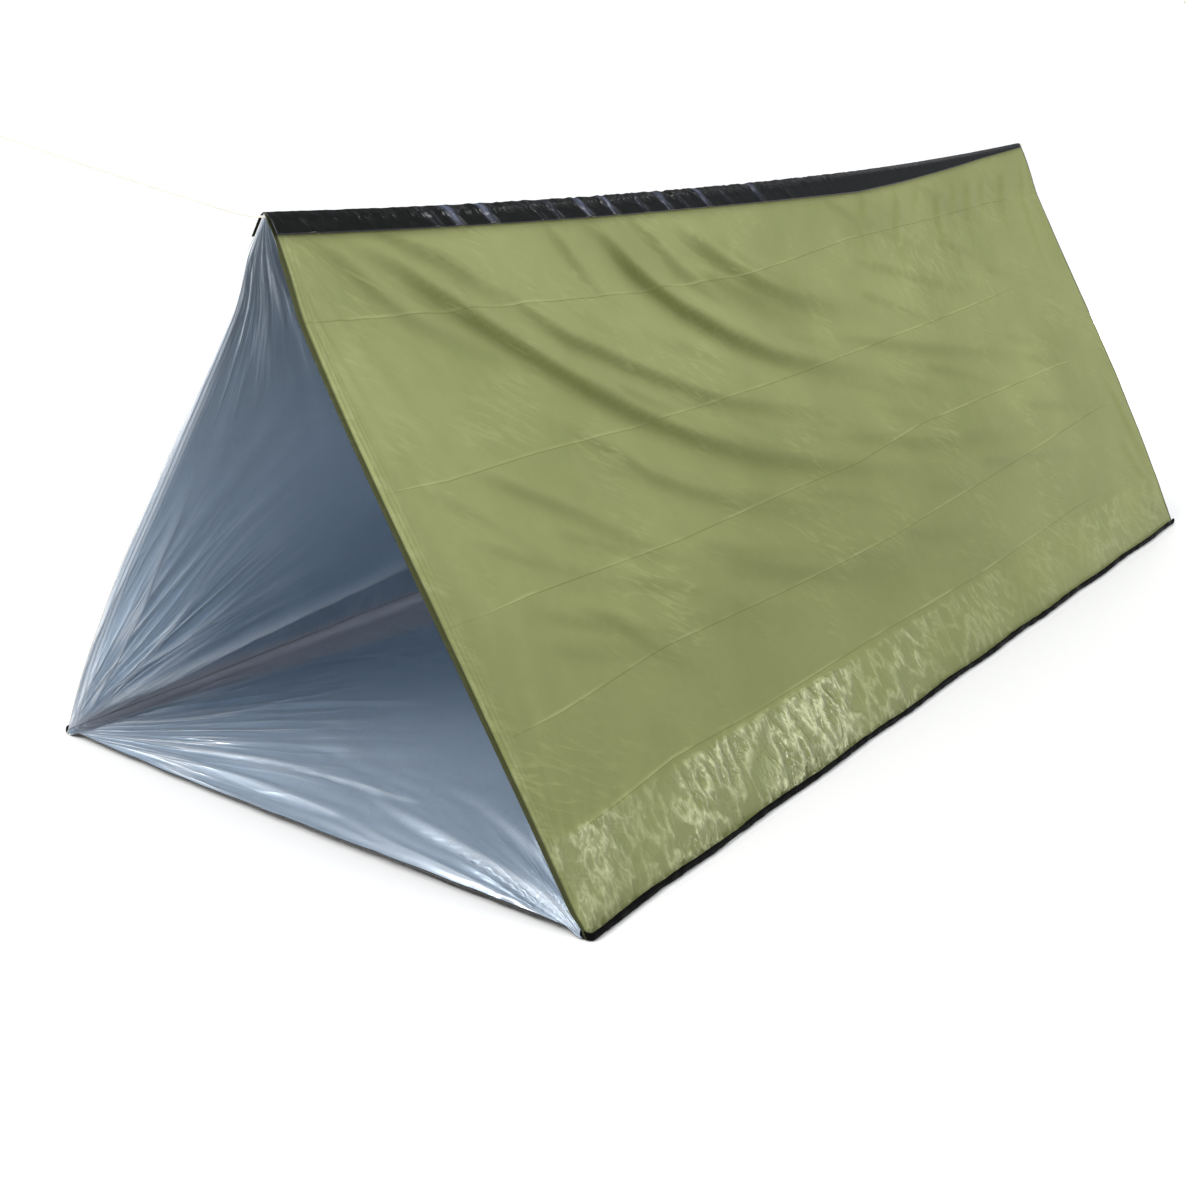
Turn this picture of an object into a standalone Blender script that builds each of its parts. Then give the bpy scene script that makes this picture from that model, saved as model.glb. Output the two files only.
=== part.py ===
# Emergency tube tent: a tube of plastic film, open at both ends, hung over a cord.
# Metres, +Z up, +Y along the ridge away from the open end that faces the viewer.
# The origin is on the ground under the middle of the ridge.

import math

import bmesh
import bpy
from mathutils import Vector

# The tent as pitched
TENT_LENGTH = 2.438
BASE_WIDTH = 1.003
RIDGE_HEIGHT = 0.837
RIDGE_SAG = 0.028
FRONT_BASE_SETBACK = 0.011
REAR_BASE_SETBACK = 0.065
FRONT_EDGE_BOW = 0.008
REAR_EDGE_BOW = 0.030
FLOOR_EDGE_BOW = 0.010
FLOOR_BOW_FADE = 6

# The film: each panel is drawn thicker than the real film, which is about 0.05 mm
FILM = 0.001
CLEARANCE = 0.0003

# The black strip over the ridge
STRIP_HALF_WIDTH = 0.038
STRIP_EDGE_RADIUS = 0.0025
STRIP_REAR_STOP = 0.012
STRIP_MARGIN = 0.006

# The black welded seam along each side of the base
SEAM_HEIGHT = 0.012
SEAM_THICKNESS = 0.0035
SEAM_WAVE = 0.003
SEAM_WAVE_LENGTH = 0.31
SEAM_RIPPLE_LENGTH = 0.115
SEAM_RIPPLE_SHARE = 0.5
SEAM_HEIGHT_WAVE_SHARE = 0.18
SEAM_CORNER_FLARE = 0.007
SEAM_CORNER_LENGTH = 0.06
SEAM_MARGIN = 0.008
# Its outline across the tent, as shares of its thickness, of its bulge and of its height
SEAM_OUTLINE_SHARES = (
    (0, 0, 0),
    (1, 1, 0),
    (1.2, 1, 0.2),
    (1, 0.8, 0.6),
    (0.6, 0, 0.92),
    (0, 0, 1),
)

# The folds that hang in the side walls. A fold leaves the ridge at its start, given as a
# share of the tent's length, and bends towards the floor as it runs to the rear.
FOLD_RUN = 1.25
FOLD_FALL = 1.05
FOLD_START_SHARES = (-0.077, -0.03, 0.022, 0.064, 0.105, 0.16, 0.215, 0.265, 0.32)
FOLD_DEPTH_SHARES = (-0.6, 0.4, -0.85, 0.6, -0.7, 0.7, -0.85, 0.8, -0.5)
FOLD_DEPTH = 0.011
FOLD_WIDTH_SHARE = 0.026
FOLD_LEAST_FALL_SHARE = 0.001
RIGHT_FOLD_SHARE = 1.0
LEFT_FOLD_SHARE = 0.6
# They fade by this share over this stretch of the length, towards the rear
FOLD_FADE_SHARE = 0.7
FOLD_FADE_START_SHARE = 0.55
FOLD_FADE_RUN_SHARE = 0.3

# Each wall drops steeply from the ridge strip, and the left one bellies out lower down
HANG_DEPTH = 0.014
HANG_PEAK_SHARE = 0.2
LEFT_BELLY = 0.012
RIGHT_BELLY = 0.003

# The folds start and end over these shares of the slope, below the strip and above the seam
RELIEF_START_SHARE = 0.12
RELIEF_END_SHARE = 0.1

# The cord: one length, threaded through the ridge and held taut at both ends
CORD_DIAMETER = 0.003
CORD_EXIT = 0.002
GUY_RISE = math.radians(17.5)
GUY_BEND = 0.05
FRONT_GUY_LENGTH = 0.44
REAR_GUY_LENGTH = 1.22
GUY_SAG_SHARE = 0.004
LOOP_LENGTH = 0.052
LOOP_WIDTH = 0.026
LOOP_NOSE_SHARE = 0.6
KNOT_TURNS = 4
KNOT_TURN_GAP = 0.0005

# How finely the film and the cord are divided
WALL_COLUMNS = 42
WALL_ROWS = 13
STRIP_COLUMNS = 36
SEAM_COLUMNS = 44
FLOOR_COLUMNS = 12
FLOOR_ROWS = 6
RIDGE_CORD_POINTS = 30
FRONT_GUY_POINTS = 12
REAR_GUY_POINTS = 18
GUY_POINT_CROWDING = 1.6
KNOT_TURN_POINTS = 10
LOOP_POINTS = 24
ROUND_STEPS = 4
CORD_BEVEL_RESOLUTION = 2

HALF_LENGTH = TENT_LENGTH / 2
HALF_WIDTH = BASE_WIDTH / 2
SLANT = math.hypot(HALF_WIDTH, RIDGE_HEIGHT)
# Depths below the outer face of the ridge strip, square to the wall
WALL_DEPTH = FILM + CLEARANCE
SEAM_DEPTH = WALL_DEPTH - CLEARANCE
CORD_DEPTH = WALL_DEPTH + FILM + CLEARANCE + CORD_DIAMETER / 2
# The part of the slope, from the ridge, where the film is free to fold
STRIP_SHARE = (STRIP_HALF_WIDTH + STRIP_MARGIN) / SLANT
SEAM_SHARE = 1 - (SEAM_HEIGHT + SEAM_MARGIN) / RIDGE_HEIGHT

LEFT, RIGHT = -1, 1
MILLIMETRES = 1000


def clear_scene():
    for item in list(bpy.data.objects):
        bpy.data.objects.remove(item, do_unlink=True)


def make_material(name, colour, roughness, metallic=0.0):
    material = bpy.data.materials.new(name)
    material.use_nodes = True
    shader = material.node_tree.nodes["Principled BSDF"]
    shader.inputs["Base Color"].default_value = (*colour, 1)
    shader.inputs["Roughness"].default_value = roughness
    shader.inputs["Metallic"].default_value = metallic
    material.diffuse_color = (*colour, 1)
    return material


def make_collection(name):
    collection = bpy.data.collections.new(name)
    bpy.context.scene.collection.children.link(collection)
    return collection


def add_object(name, data, material, collection):
    item = bpy.data.objects.new(name, data)
    data.materials.append(material)
    collection.objects.link(item)
    return item


def smooth_step(value):
    value = min(max(value, 0), 1)
    return value * value * (3 - 2 * value)


def ridge_z(y):
    """Height at which the two walls' faces meet, above the point y along the ridge."""
    return RIDGE_HEIGHT - RIDGE_SAG * (1 - (y / HALF_LENGTH) ** 2)


def wall_normal(y, side):
    return Vector((side * ridge_z(y), 0, HALF_WIDTH)).normalized()


def face_x(z, depth, y=0):
    """Distance from the middle of a face that lies at a depth below the wall's plane."""
    top = ridge_z(y)
    return HALF_WIDTH * (1 - z / top) - depth * math.hypot(top, HALF_WIDTH) / top


def wall_y(along, down):
    """Place along the tent of a point on a wall: the base is shorter than the ridge."""
    top = -HALF_LENGTH + TENT_LENGTH * along
    front = -HALF_LENGTH + FRONT_BASE_SETBACK
    foot = front + (TENT_LENGTH - FRONT_BASE_SETBACK - REAR_BASE_SETBACK) * along
    bow = math.sin(math.pi * min(down, 1))
    bow_y = REAR_EDGE_BOW * bow * along**3 - FRONT_EDGE_BOW * bow * (1 - along) ** 3
    return top + (foot - top) * down + bow_y


def fold_depth(y, distance):
    """The hanging folds: how far the film stands out, at a distance down the slope."""
    fall = max(1 - distance / FOLD_FALL, FOLD_LEAST_FALL_SHARE)
    start = (y + HALF_LENGTH + FOLD_RUN * math.log(fall)) / TENT_LENGTH
    depth = 0
    for fold_start, share in zip(FOLD_START_SHARES, FOLD_DEPTH_SHARES, strict=True):
        off = (start - fold_start) / FOLD_WIDTH_SHARE
        depth += share * math.exp(-off * off)
    return FOLD_DEPTH * depth


def wall_relief(y, along, down, side):
    """How far the film stands out from the straight wall, inwards where negative."""
    free = smooth_step((down - STRIP_SHARE) / RELIEF_START_SHARE)
    free *= smooth_step((SEAM_SHARE - down) / RELIEF_END_SHARE)
    share = RIGHT_FOLD_SHARE if side == RIGHT else LEFT_FOLD_SHARE
    fade = 1 - FOLD_FADE_SHARE * smooth_step((along - FOLD_FADE_START_SHARE) / FOLD_FADE_RUN_SHARE)
    folds = share * fade * fold_depth(y, down * SLANT)
    hang = -HANG_DEPTH * down / HANG_PEAK_SHARE * math.exp(1 - down / HANG_PEAK_SHARE)
    belly = (RIGHT_BELLY if side == RIGHT else LEFT_BELLY) * math.sin(math.pi * down**2)
    return free * (folds + hang + belly)


def wall_point(along, down, side):
    y = wall_y(along, down)
    depth = WALL_DEPTH - wall_relief(y, along, down, side)
    point = Vector((side * HALF_WIDTH * down, y, ridge_z(y) * (1 - down)))
    return point - wall_normal(y, side) * depth


def bent_sheet(name, columns, rows, place, outwards, materials, collection):
    """A flat grid whose points are moved to place(along, across), with a film's thickness
    on its inner side. The materials are the outer face's and the inner face's."""
    mesh = bpy.data.meshes.new(name)
    grid = bmesh.new()
    bmesh.ops.create_grid(grid, x_segments=columns, y_segments=rows, size=1)
    for vertex in grid.verts:
        vertex.co = place((vertex.co.x + 1) / 2, (vertex.co.y + 1) / 2)
    grid.to_mesh(mesh)
    grid.free()
    if mesh.polygons[0].normal.dot(outwards) < 0:
        mesh.flip_normals()
    mesh.shade_smooth()
    outer, inner = materials
    sheet = add_object(name, mesh, outer, collection)
    mesh.materials.append(inner)
    solidify = sheet.modifiers.new("film", "SOLIDIFY")
    solidify.thickness = FILM
    solidify.offset = -1
    solidify.material_offset = 1
    return sheet


def make_wall(name, side, materials, collection):
    first = (WALL_DEPTH + FILM) * RIDGE_HEIGHT / SLANT + CLEARANCE
    last = WALL_DEPTH * HALF_WIDTH / SLANT + 2 * FILM + CLEARANCE
    top_share = first / HALF_WIDTH
    foot_share = 1 - last / RIDGE_HEIGHT

    def place(along, across):
        # The first and last rows are flat, because the strip and the seam lie on them.
        row = across * WALL_ROWS
        if row < 1:
            down = top_share + (STRIP_SHARE - top_share) * row
        elif row > WALL_ROWS - 1:
            down = SEAM_SHARE + (foot_share - SEAM_SHARE) * (row - WALL_ROWS + 1)
        else:
            down = STRIP_SHARE + (SEAM_SHARE - STRIP_SHARE) * (row - 1) / (WALL_ROWS - 2)
        return wall_point(along, down, side)

    outwards = Vector((side, 0, 0))
    return bent_sheet(name, WALL_COLUMNS, WALL_ROWS, place, outwards, materials, collection)


def make_ridge_strip(materials, collection):
    """The strip over the ridge: two straight flanks and a rounded edge between them."""
    rows = 2 + 2 * ROUND_STEPS
    length_share = 1 - STRIP_REAR_STOP / TENT_LENGTH

    def place(along, across):
        y = -HALF_LENGTH + TENT_LENGTH * length_share * along
        top = ridge_z(y)
        lean = math.atan2(HALF_WIDTH, top)
        step = round(across * rows) - 1 - ROUND_STEPS
        centre_z = top - STRIP_EDGE_RADIUS / math.sin(lean)
        if abs(step) <= ROUND_STEPS:
            angle = (math.pi / 2 - lean) * step / ROUND_STEPS
            x = STRIP_EDGE_RADIUS * math.sin(angle)
            return Vector((x, y, centre_z + STRIP_EDGE_RADIUS * math.cos(angle)))
        side = RIGHT if step > 0 else LEFT
        x = side * STRIP_HALF_WIDTH * math.sin(lean)
        return Vector((x, y, top - STRIP_HALF_WIDTH * math.cos(lean)))

    outwards = Vector((LEFT, 0, 1))
    return bent_sheet("ridge_strip", STRIP_COLUMNS, rows, place, outwards, materials, collection)


def make_floor(materials, collection):
    """The floor film, flat on the ground between the two seams. Its outer face is the
    lower one, and its front edge bows out a little."""
    front = -HALF_LENGTH + FRONT_BASE_SETBACK
    length = TENT_LENGTH - FRONT_BASE_SETBACK - REAR_BASE_SETBACK
    half = face_x(FILM, SEAM_DEPTH + CLEARANCE)

    def place(along, across):
        bow = FLOOR_EDGE_BOW * math.sin(math.pi * along) * (1 - across) ** FLOOR_BOW_FADE
        return Vector((half * (2 * along - 1), front + length * across - bow, 0))

    outwards = Vector((0, 0, -1))
    return bent_sheet("floor_film", FLOOR_COLUMNS, FLOOR_ROWS, place, outwards, materials, collection)


def seam_section(along, side):
    """One cross-section of the seam: it stands against the wall's foot, flat on the
    ground, with a rounded top that waves along the tent."""
    y = wall_y(along, 1)
    wave = math.sin(math.tau * y / SEAM_WAVE_LENGTH + side)
    wave += SEAM_RIPPLE_SHARE * math.sin(math.tau * y / SEAM_RIPPLE_LENGTH)
    wave /= 1 + SEAM_RIPPLE_SHARE
    from_front = (y - wall_y(0, 1)) / SEAM_CORNER_LENGTH
    bulge = SEAM_WAVE * (1 + wave) / 2 + SEAM_CORNER_FLARE * math.exp(-from_front)
    height = SEAM_HEIGHT * (1 + SEAM_HEIGHT_WAVE_SHARE * wave)
    section = []
    for thickness_share, bulge_share, height_share in SEAM_OUTLINE_SHARES:
        z = height * height_share
        x = face_x(z, SEAM_DEPTH, y) + SEAM_THICKNESS * thickness_share + bulge * bulge_share
        section.append(Vector((side * x, y, z)))
    return section


def make_seam(name, side, material, collection):
    loft = bmesh.new()
    rings = []
    for column in range(SEAM_COLUMNS + 1):
        section = seam_section(column / SEAM_COLUMNS, side)
        rings.append([loft.verts.new(point) for point in section])
    count = len(rings[0])
    for ring, following in zip(rings[:-1], rings[1:], strict=True):
        for i in range(count):
            j = (i + 1) % count
            loft.faces.new((ring[i], ring[j], following[j], following[i]))
    loft.faces.new(rings[0])
    loft.faces.new(rings[-1])
    bmesh.ops.recalc_face_normals(loft, faces=loft.faces)
    mesh = bpy.data.meshes.new(name)
    loft.to_mesh(mesh)
    loft.free()
    return add_object(name, mesh, material, collection)


def make_tube(name, points, material, collection, closed=False):
    """A stretch of cord along the points."""
    curve = bpy.data.curves.new(name, "CURVE")
    curve.dimensions = "3D"
    curve.bevel_depth = CORD_DIAMETER / 2
    curve.bevel_resolution = CORD_BEVEL_RESOLUTION
    curve.use_fill_caps = not closed
    spline = curve.splines.new("POLY")
    spline.points.add(len(points) - 1)
    for spline_point, place in zip(spline.points, points, strict=True):
        spline_point.co = (*place, 1)
    spline.use_cyclic_u = closed
    return add_object(name, curve, material, collection)


def cord_z(y):
    """Height of the cord's middle: it lies in the fold between the two walls."""
    lean = math.atan2(HALF_WIDTH, ridge_z(y))
    return ridge_z(y) - CORD_DEPTH / math.sin(lean)


def make_ridge_cord(material, collection):
    reach = HALF_LENGTH + CORD_EXIT
    points = []
    for i in range(RIDGE_CORD_POINTS):
        y = -reach + 2 * reach * i / (RIDGE_CORD_POINTS - 1)
        points.append(Vector((0, y, cord_z(y))))
    return make_tube("ridge_cord", points, material, collection)


def guy_frame(end):
    """Where a guy line starts, and the directions out along the ridge and up the guy."""
    start = Vector((0, end * (HALF_LENGTH + CORD_EXIT), cord_z(HALF_LENGTH + CORD_EXIT)))
    level = Vector((0, end, 4 * RIDGE_SAG / TENT_LENGTH)).normalized()
    rising = Vector((0, end * math.cos(GUY_RISE), math.sin(GUY_RISE)))
    return start + level * CLEARANCE, level, rising


def guy_point(end, length, distance):
    """A point on the guy line: it leaves the ridge level, bends up, and is then straight
    but for a slight sag."""
    start, level, rising = guy_frame(end)
    if distance < GUY_BEND:
        share = distance / GUY_BEND
        return start + (level + (rising - level) * share / 2) * distance
    bend_end = start + (level + rising) / 2 * GUY_BEND
    share = (distance - GUY_BEND) / (length - GUY_BEND)
    sag = 4 * GUY_SAG_SHARE * length * share * (1 - share)
    return bend_end + rising * (distance - GUY_BEND) - Vector((0, 0, sag))


def make_guy(name, end, length, count, material, collection):
    """A taut stretch of the cord. Its points are closer together in the bend."""
    distances = [length * (i / (count - 1)) ** GUY_POINT_CROWDING for i in range(count)]
    points = [guy_point(end, length, distance) for distance in distances]
    return make_tube(name, points, material, collection)


def least_gap(points, apart):
    """Least gap between a wound cord's turns, from points at least this many apart."""
    spans = [
        (first - second).length
        for i, first in enumerate(points)
        for second in points[i + apart :]
    ]
    return min(spans) - CORD_DIAMETER


def make_knot(name, end, length, material, collection):
    """The cord's tail wound round the guy line, just before its end."""
    _, _, rising = guy_frame(end)
    across = Vector((1, 0, 0))
    upwards = rising.cross(across)
    radius = CORD_DIAMETER + CLEARANCE
    pitch = CORD_DIAMETER + KNOT_TURN_GAP
    tip = guy_point(end, length, length)
    points = []
    for i in range(KNOT_TURNS * KNOT_TURN_POINTS + 1):
        turn = i / KNOT_TURN_POINTS
        angle = math.tau * turn
        middle = tip - rising * (CORD_DIAMETER + pitch * turn)
        points.append(middle + radius * (across * math.cos(angle) + upwards * math.sin(angle)))
    gap = least_gap(points, KNOT_TURN_POINTS // 2)
    print(f"{name}: least gap to itself {gap * MILLIMETRES:.2f} mm")
    return make_tube(name, points, material, collection)


def make_loop(name, end, length, material, collection):
    """The tied loop at the cord's end: it has a round nose at the knot and widens away
    from it."""
    _, _, rising = guy_frame(end)
    nose = guy_point(end, length, length) + rising * (CLEARANCE + CORD_DIAMETER / 2)
    outline = []
    for i in range(LOOP_POINTS):
        angle = math.tau * i / LOOP_POINTS
        out = math.sin(angle / 2) ** 2
        width = math.sin(angle) * (LOOP_NOSE_SHARE + (1 - LOOP_NOSE_SHARE) * out)
        outline.append((out, width))
    widest = max(width for _, width in outline)
    points = []
    for out, width in outline:
        across = Vector((LOOP_WIDTH / 2 * width / widest, 0, 0))
        points.append(nose + rising * LOOP_LENGTH * out + across)
    return make_tube(name, points, material, collection, closed=True)


def build():
    clear_scene()
    olive = make_material("olive_film", (0.27, 0.32, 0.13), 0.35)
    black = make_material("black_film", (0.012, 0.012, 0.01), 0.25)
    silver = make_material("silver_lining", (0.42, 0.5, 0.6), 0.3, metallic=0.85)
    pale = make_material("pale_cord", (0.75, 0.73, 0.66), 0.8)
    tent = make_collection("emergency_tube_tent")
    make_floor((black, silver), tent)
    make_wall("left_wall_film", LEFT, (olive, silver), tent)
    make_wall("right_wall_film", RIGHT, (olive, silver), tent)
    make_ridge_strip((black, black), tent)
    make_seam("left_base_seam", LEFT, black, tent)
    make_seam("right_base_seam", RIGHT, black, tent)
    make_ridge_cord(pale, tent)
    guys = (
        ("front", -1, FRONT_GUY_LENGTH, FRONT_GUY_POINTS),
        ("rear", 1, REAR_GUY_LENGTH, REAR_GUY_POINTS),
    )
    for name, end, length, count in guys:
        make_guy(name + "_guy_line", end, length, count, pale, tent)
        make_knot(name + "_guy_knot", end, length, pale, tent)
        make_loop(name + "_guy_loop", end, length, pale, tent)


build()
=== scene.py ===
import math
from functools import partial

import bpy
import numpy as np
from mathutils import Matrix, Vector
from mathutils.bvhtree import BVHTree


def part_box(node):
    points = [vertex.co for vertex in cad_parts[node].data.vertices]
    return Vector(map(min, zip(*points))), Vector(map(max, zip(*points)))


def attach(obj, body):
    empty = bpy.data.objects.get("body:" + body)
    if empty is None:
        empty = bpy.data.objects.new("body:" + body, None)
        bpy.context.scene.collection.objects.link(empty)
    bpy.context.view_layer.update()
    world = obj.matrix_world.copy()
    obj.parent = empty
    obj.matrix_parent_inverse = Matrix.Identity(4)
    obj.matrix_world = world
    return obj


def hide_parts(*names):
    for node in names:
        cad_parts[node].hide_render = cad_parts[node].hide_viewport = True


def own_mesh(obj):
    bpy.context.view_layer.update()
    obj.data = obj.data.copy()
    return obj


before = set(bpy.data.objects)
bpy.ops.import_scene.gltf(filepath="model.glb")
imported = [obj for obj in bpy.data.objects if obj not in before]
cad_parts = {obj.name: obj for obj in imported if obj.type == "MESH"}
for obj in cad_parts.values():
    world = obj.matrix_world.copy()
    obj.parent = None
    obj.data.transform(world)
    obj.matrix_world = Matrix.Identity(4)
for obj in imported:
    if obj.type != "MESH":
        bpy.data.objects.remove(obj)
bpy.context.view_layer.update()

# The pitched tent, in metres: y runs along the ridge from the open front to the rear,
# "down" is the distance from the ridge along a wall's slope
tent = {
    "length": 2.438,
    "baseWidth": 1.003,
    "ridgeHeight": 0.837,
    "ridgeSag": 0.028,
    "frontSetback": 0.011,
    "rearSetback": 0.065,
    "frontBow": 0.008,
    "rearBow": 0.030,
    "film": 0.0006,
    "panelDepth": 0.0013,
    "clearance": 0.0004,
    "seamHeight": 0.012,
    "dropRange": 0.78,
}
left, right = -1, 1
halfLength = tent["length"] / 2
halfWidth = tent["baseWidth"] / 2
baseLength = tent["length"] - tent["frontSetback"] - tent["rearSetback"]
slant = math.hypot(halfWidth, tent["ridgeHeight"])


# Helpers

# The main setting of a kind of node is the first of these that it has
mainSettings = ("operation", "interpolation_type", "noise_type", "attribute_name", "uv_map", "vector_type",
                "rotation_type", "spline_type", "mode", "data_type")


def fillInputs(node, inputs):  # with values, sockets, or nodes, whose first enabled output is meant
    for key, value in inputs.items():
        if isinstance(value, bpy.types.Node):
            value = next(socket for socket in value.outputs if socket.enabled)
        if isinstance(value, bpy.types.NodeSocket):
            node.id_data.links.new(value, node.inputs[key])
        else:
            node.inputs[key].default_value = value


def addNode(tree, kind, setting=None, *inputs, **named):
    node = tree.nodes.new(kind if kind.startswith(("Geometry", "NodeGroup")) else "ShaderNode" + kind)
    if setting:
        setattr(node, next(name for name in mainSettings if hasattr(node, name)), setting)
    fillInputs(node, {**dict(enumerate(inputs)), **named})
    return node


def hexColour(code):
    parts = [int(code[i:i + 2], 16) / 255 for i in (1, 3, 5)]
    return tuple(p / 12.92 if p <= 0.04045 else ((p + 0.055) / 1.055) ** 2.4 for p in parts) + (1,)


def smoothStep(value):
    value = np.clip(value, 0, 1)
    return value * value * (3 - 2 * value)


def raiseFrom(least, value):  # from the least to 1, as the value goes from 0 to 1
    return least + (1 - least) * value


def pathOffset(u, v, path):  # signed distance from a path of (u, v) points, and how far along it, from 0 to 1
    points = np.array(path, float)
    steps = np.linalg.norm(np.diff(points, axis=0), axis=1)
    reached = np.concatenate(([0], np.cumsum(steps)))
    best = np.full(u.shape, np.inf)
    share = np.zeros(u.shape)
    for i, (start, end) in enumerate(zip(points[:-1], points[1:])):
        span = end - start
        du, dv = u - start[0], v - start[1]
        t = np.clip((du * span[0] + dv * span[1]) / (span @ span), 0, 1)
        side = np.where(span[0] * dv - span[1] * du < 0, -1, 1)
        gap = side * np.hypot(du - t * span[0], dv - t * span[1])
        nearer = np.abs(gap) < np.abs(best)
        best = np.where(nearer, gap, best)
        share = np.where(nearer, (reached[i] + t * steps[i]) / reached[-1], share)
    return best, share


def addObject(name, data):
    item = bpy.data.objects.new(name, data)
    bpy.context.scene.collection.objects.link(item)
    return item


def addLine(name, points, radii=None, closed=False):  # a curve object with straight spans
    curve = bpy.data.curves.new(name, "CURVE")
    curve.dimensions = "3D"
    spline = curve.splines.new("POLY")
    spline.points.add(len(points) - 1)
    spline.use_cyclic_u = closed
    for target, point, radius in zip(spline.points, points, radii or [1] * len(points)):
        target.co = (*point, 1)
        target.radius = radius
    return addObject(name, curve)


def gridMesh(name, points, flat, attributes):
    # points is rows x columns x 3; flat is each point's place on the unrolled film, in metres
    rows, columns = points.shape[:2]
    index = np.arange(rows * columns).reshape(rows, columns)
    faces = np.stack((index[:-1, :-1], index[:-1, 1:], index[1:, 1:], index[1:, :-1]), axis=-1).reshape(-1, 4)
    mesh = bpy.data.meshes.new(name)
    mesh.from_pydata(points.reshape(-1, 3).tolist(), [], faces.tolist())
    corners = np.zeros(len(mesh.loops), np.int32)
    mesh.loops.foreach_get("vertex_index", corners)
    layer = mesh.uv_layers.new(name="UVMap")
    layer.data.foreach_set("uv", flat.reshape(-1, 2)[corners].ravel().astype(np.float32))
    place = np.concatenate((flat, np.zeros((rows, columns, 1))), axis=-1)
    for key, values in {"flat": place, **attributes}.items():
        kind, field = ("FLOAT_VECTOR", "vector") if values.ndim == 3 else ("FLOAT", "value")
        layer = mesh.attributes.new(key, kind, "POINT")
        values = np.broadcast_to(values, (rows, columns, *values.shape[2:]))
        layer.data.foreach_set(field, values.ravel().astype(np.float32))
    mesh.shade_smooth()
    return mesh


def bakeNodes(item, tree, values):  # runs a node tree on the object and keeps the result as a plain mesh
    modifier = item.modifiers.new("nodes", "NODES")
    modifier.node_group = tree
    for socket in tree.interface.items_tree:
        if socket.in_out == "INPUT" and socket.name in values:
            modifier[socket.identifier] = values[socket.name]
    item.update_tag()
    graph = bpy.context.evaluated_depsgraph_get()
    seen = item.evaluated_get(graph)
    mesh = bpy.data.meshes.new_from_object(seen, preserve_all_data_layers=True, depsgraph=graph)
    mesh.name = item.name
    if item.type == "MESH":
        item.modifiers.clear()
        item.data = mesh
        return item
    name = item.name
    bpy.data.objects.remove(item)
    return addObject(name, mesh)


# Camera, at the photograph's angle
cameraSettings = {
    "place": (1.4934, -2.6282, 1.0448),
    "yaw": -0.6077,
    "pitch": -0.3342,
    "roll": 0.0271,
    "focalPixels": 1617.65,
    "imagePixels": 1200,
    "sensor": 36.0,
}


def makeCamera():
    s = cameraSettings
    level = Vector((math.cos(s["yaw"]), -math.sin(s["yaw"]), 0))
    ahead = Vector((math.sin(s["yaw"]), math.cos(s["yaw"]), 0))
    forward = ahead * math.cos(s["pitch"]) + Vector((0, 0, math.sin(s["pitch"])))
    upwards = level.cross(forward)
    across = level * math.cos(s["roll"]) + upwards * math.sin(s["roll"])
    upwards = upwards * math.cos(s["roll"]) - level * math.sin(s["roll"])
    data = bpy.data.cameras.new("camera")
    data.sensor_width = s["sensor"]
    data.lens = s["sensor"] * s["focalPixels"] / s["imagePixels"]
    camera = addObject("camera", data)
    turn = Matrix((across, upwards, -forward)).transposed().to_4x4()
    camera.matrix_world = Matrix.Translation(s["place"]) @ turn
    bpy.context.scene.camera = camera


makeCamera()
print("tent: camera placed")


# Materials. A range in their settings is (start, end) or (start, end, first value, last value),
# and a fan is (waves, reach)

creaseNoise = {"Detail": 2, "Roughness": 0.5, "Lacunarity": 2.2, "Offset": 0.9, "Gain": 1.6}
fanNoise = {"Scale": 1, "Detail": 3, "Roughness": 0.55, "Lacunarity": 2.1, "Offset": 0.9, "Gain": 1.4}
patchNoise = {"Detail": 4, "Roughness": 0.6}
fanSettings = {
    "wander": 2.2,
    "start": 0.02,
    "crests": (0.75, 1.35),
}


def startMaterial(name):
    material = bpy.data.materials.new(name)
    material.use_nodes = True
    tree = material.node_tree
    return material, partial(addNode, tree), tree.nodes["Principled BSDF"]


def addFan(add, attribute, waves, reach):  # fine creases that run out from a corner: height and crests
    s = fanSettings
    place = add("Attribute", attribute).outputs["Vector"]
    parts = add("SeparateXYZ", None, place).outputs
    angle = add("Math", "ARCTAN2", parts["Y"], parts["X"])
    spread = add("Math", "MULTIPLY", angle, waves)
    distance = add("VectorMath", "LENGTH", place)
    slow = add("Math", "MULTIPLY", distance, s["wander"])
    polar = add("CombineXYZ", None, spread, slow)
    streaks = add("TexNoise", "RIDGED_MULTIFRACTAL", Vector=polar, **fanNoise)
    fade = add("MapRange", "SMOOTHERSTEP", distance, s["start"], reach, 1, 0)
    grow = add("Math", "MULTIPLY", distance, fade)
    crest = add("MapRange", "SMOOTHSTEP", streaks, *s["crests"])
    return add("Math", "MULTIPLY", streaks, grow), add("Math", "MULTIPLY", crest, fade)


def addCrinkles(add, place, size, stretch, turn, seed, distortion=0.6):  # sharp creases, longer one way
    turned = add("Mapping", None, place, (seed, 0, 0), (0, 0, turn), (1, 1 / stretch, 1))
    noise = {"Scale": 1 / size, "Distortion": distortion, **creaseNoise}
    return add("TexNoise", "RIDGED_MULTIFRACTAL", Vector=turned, **noise)


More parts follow.
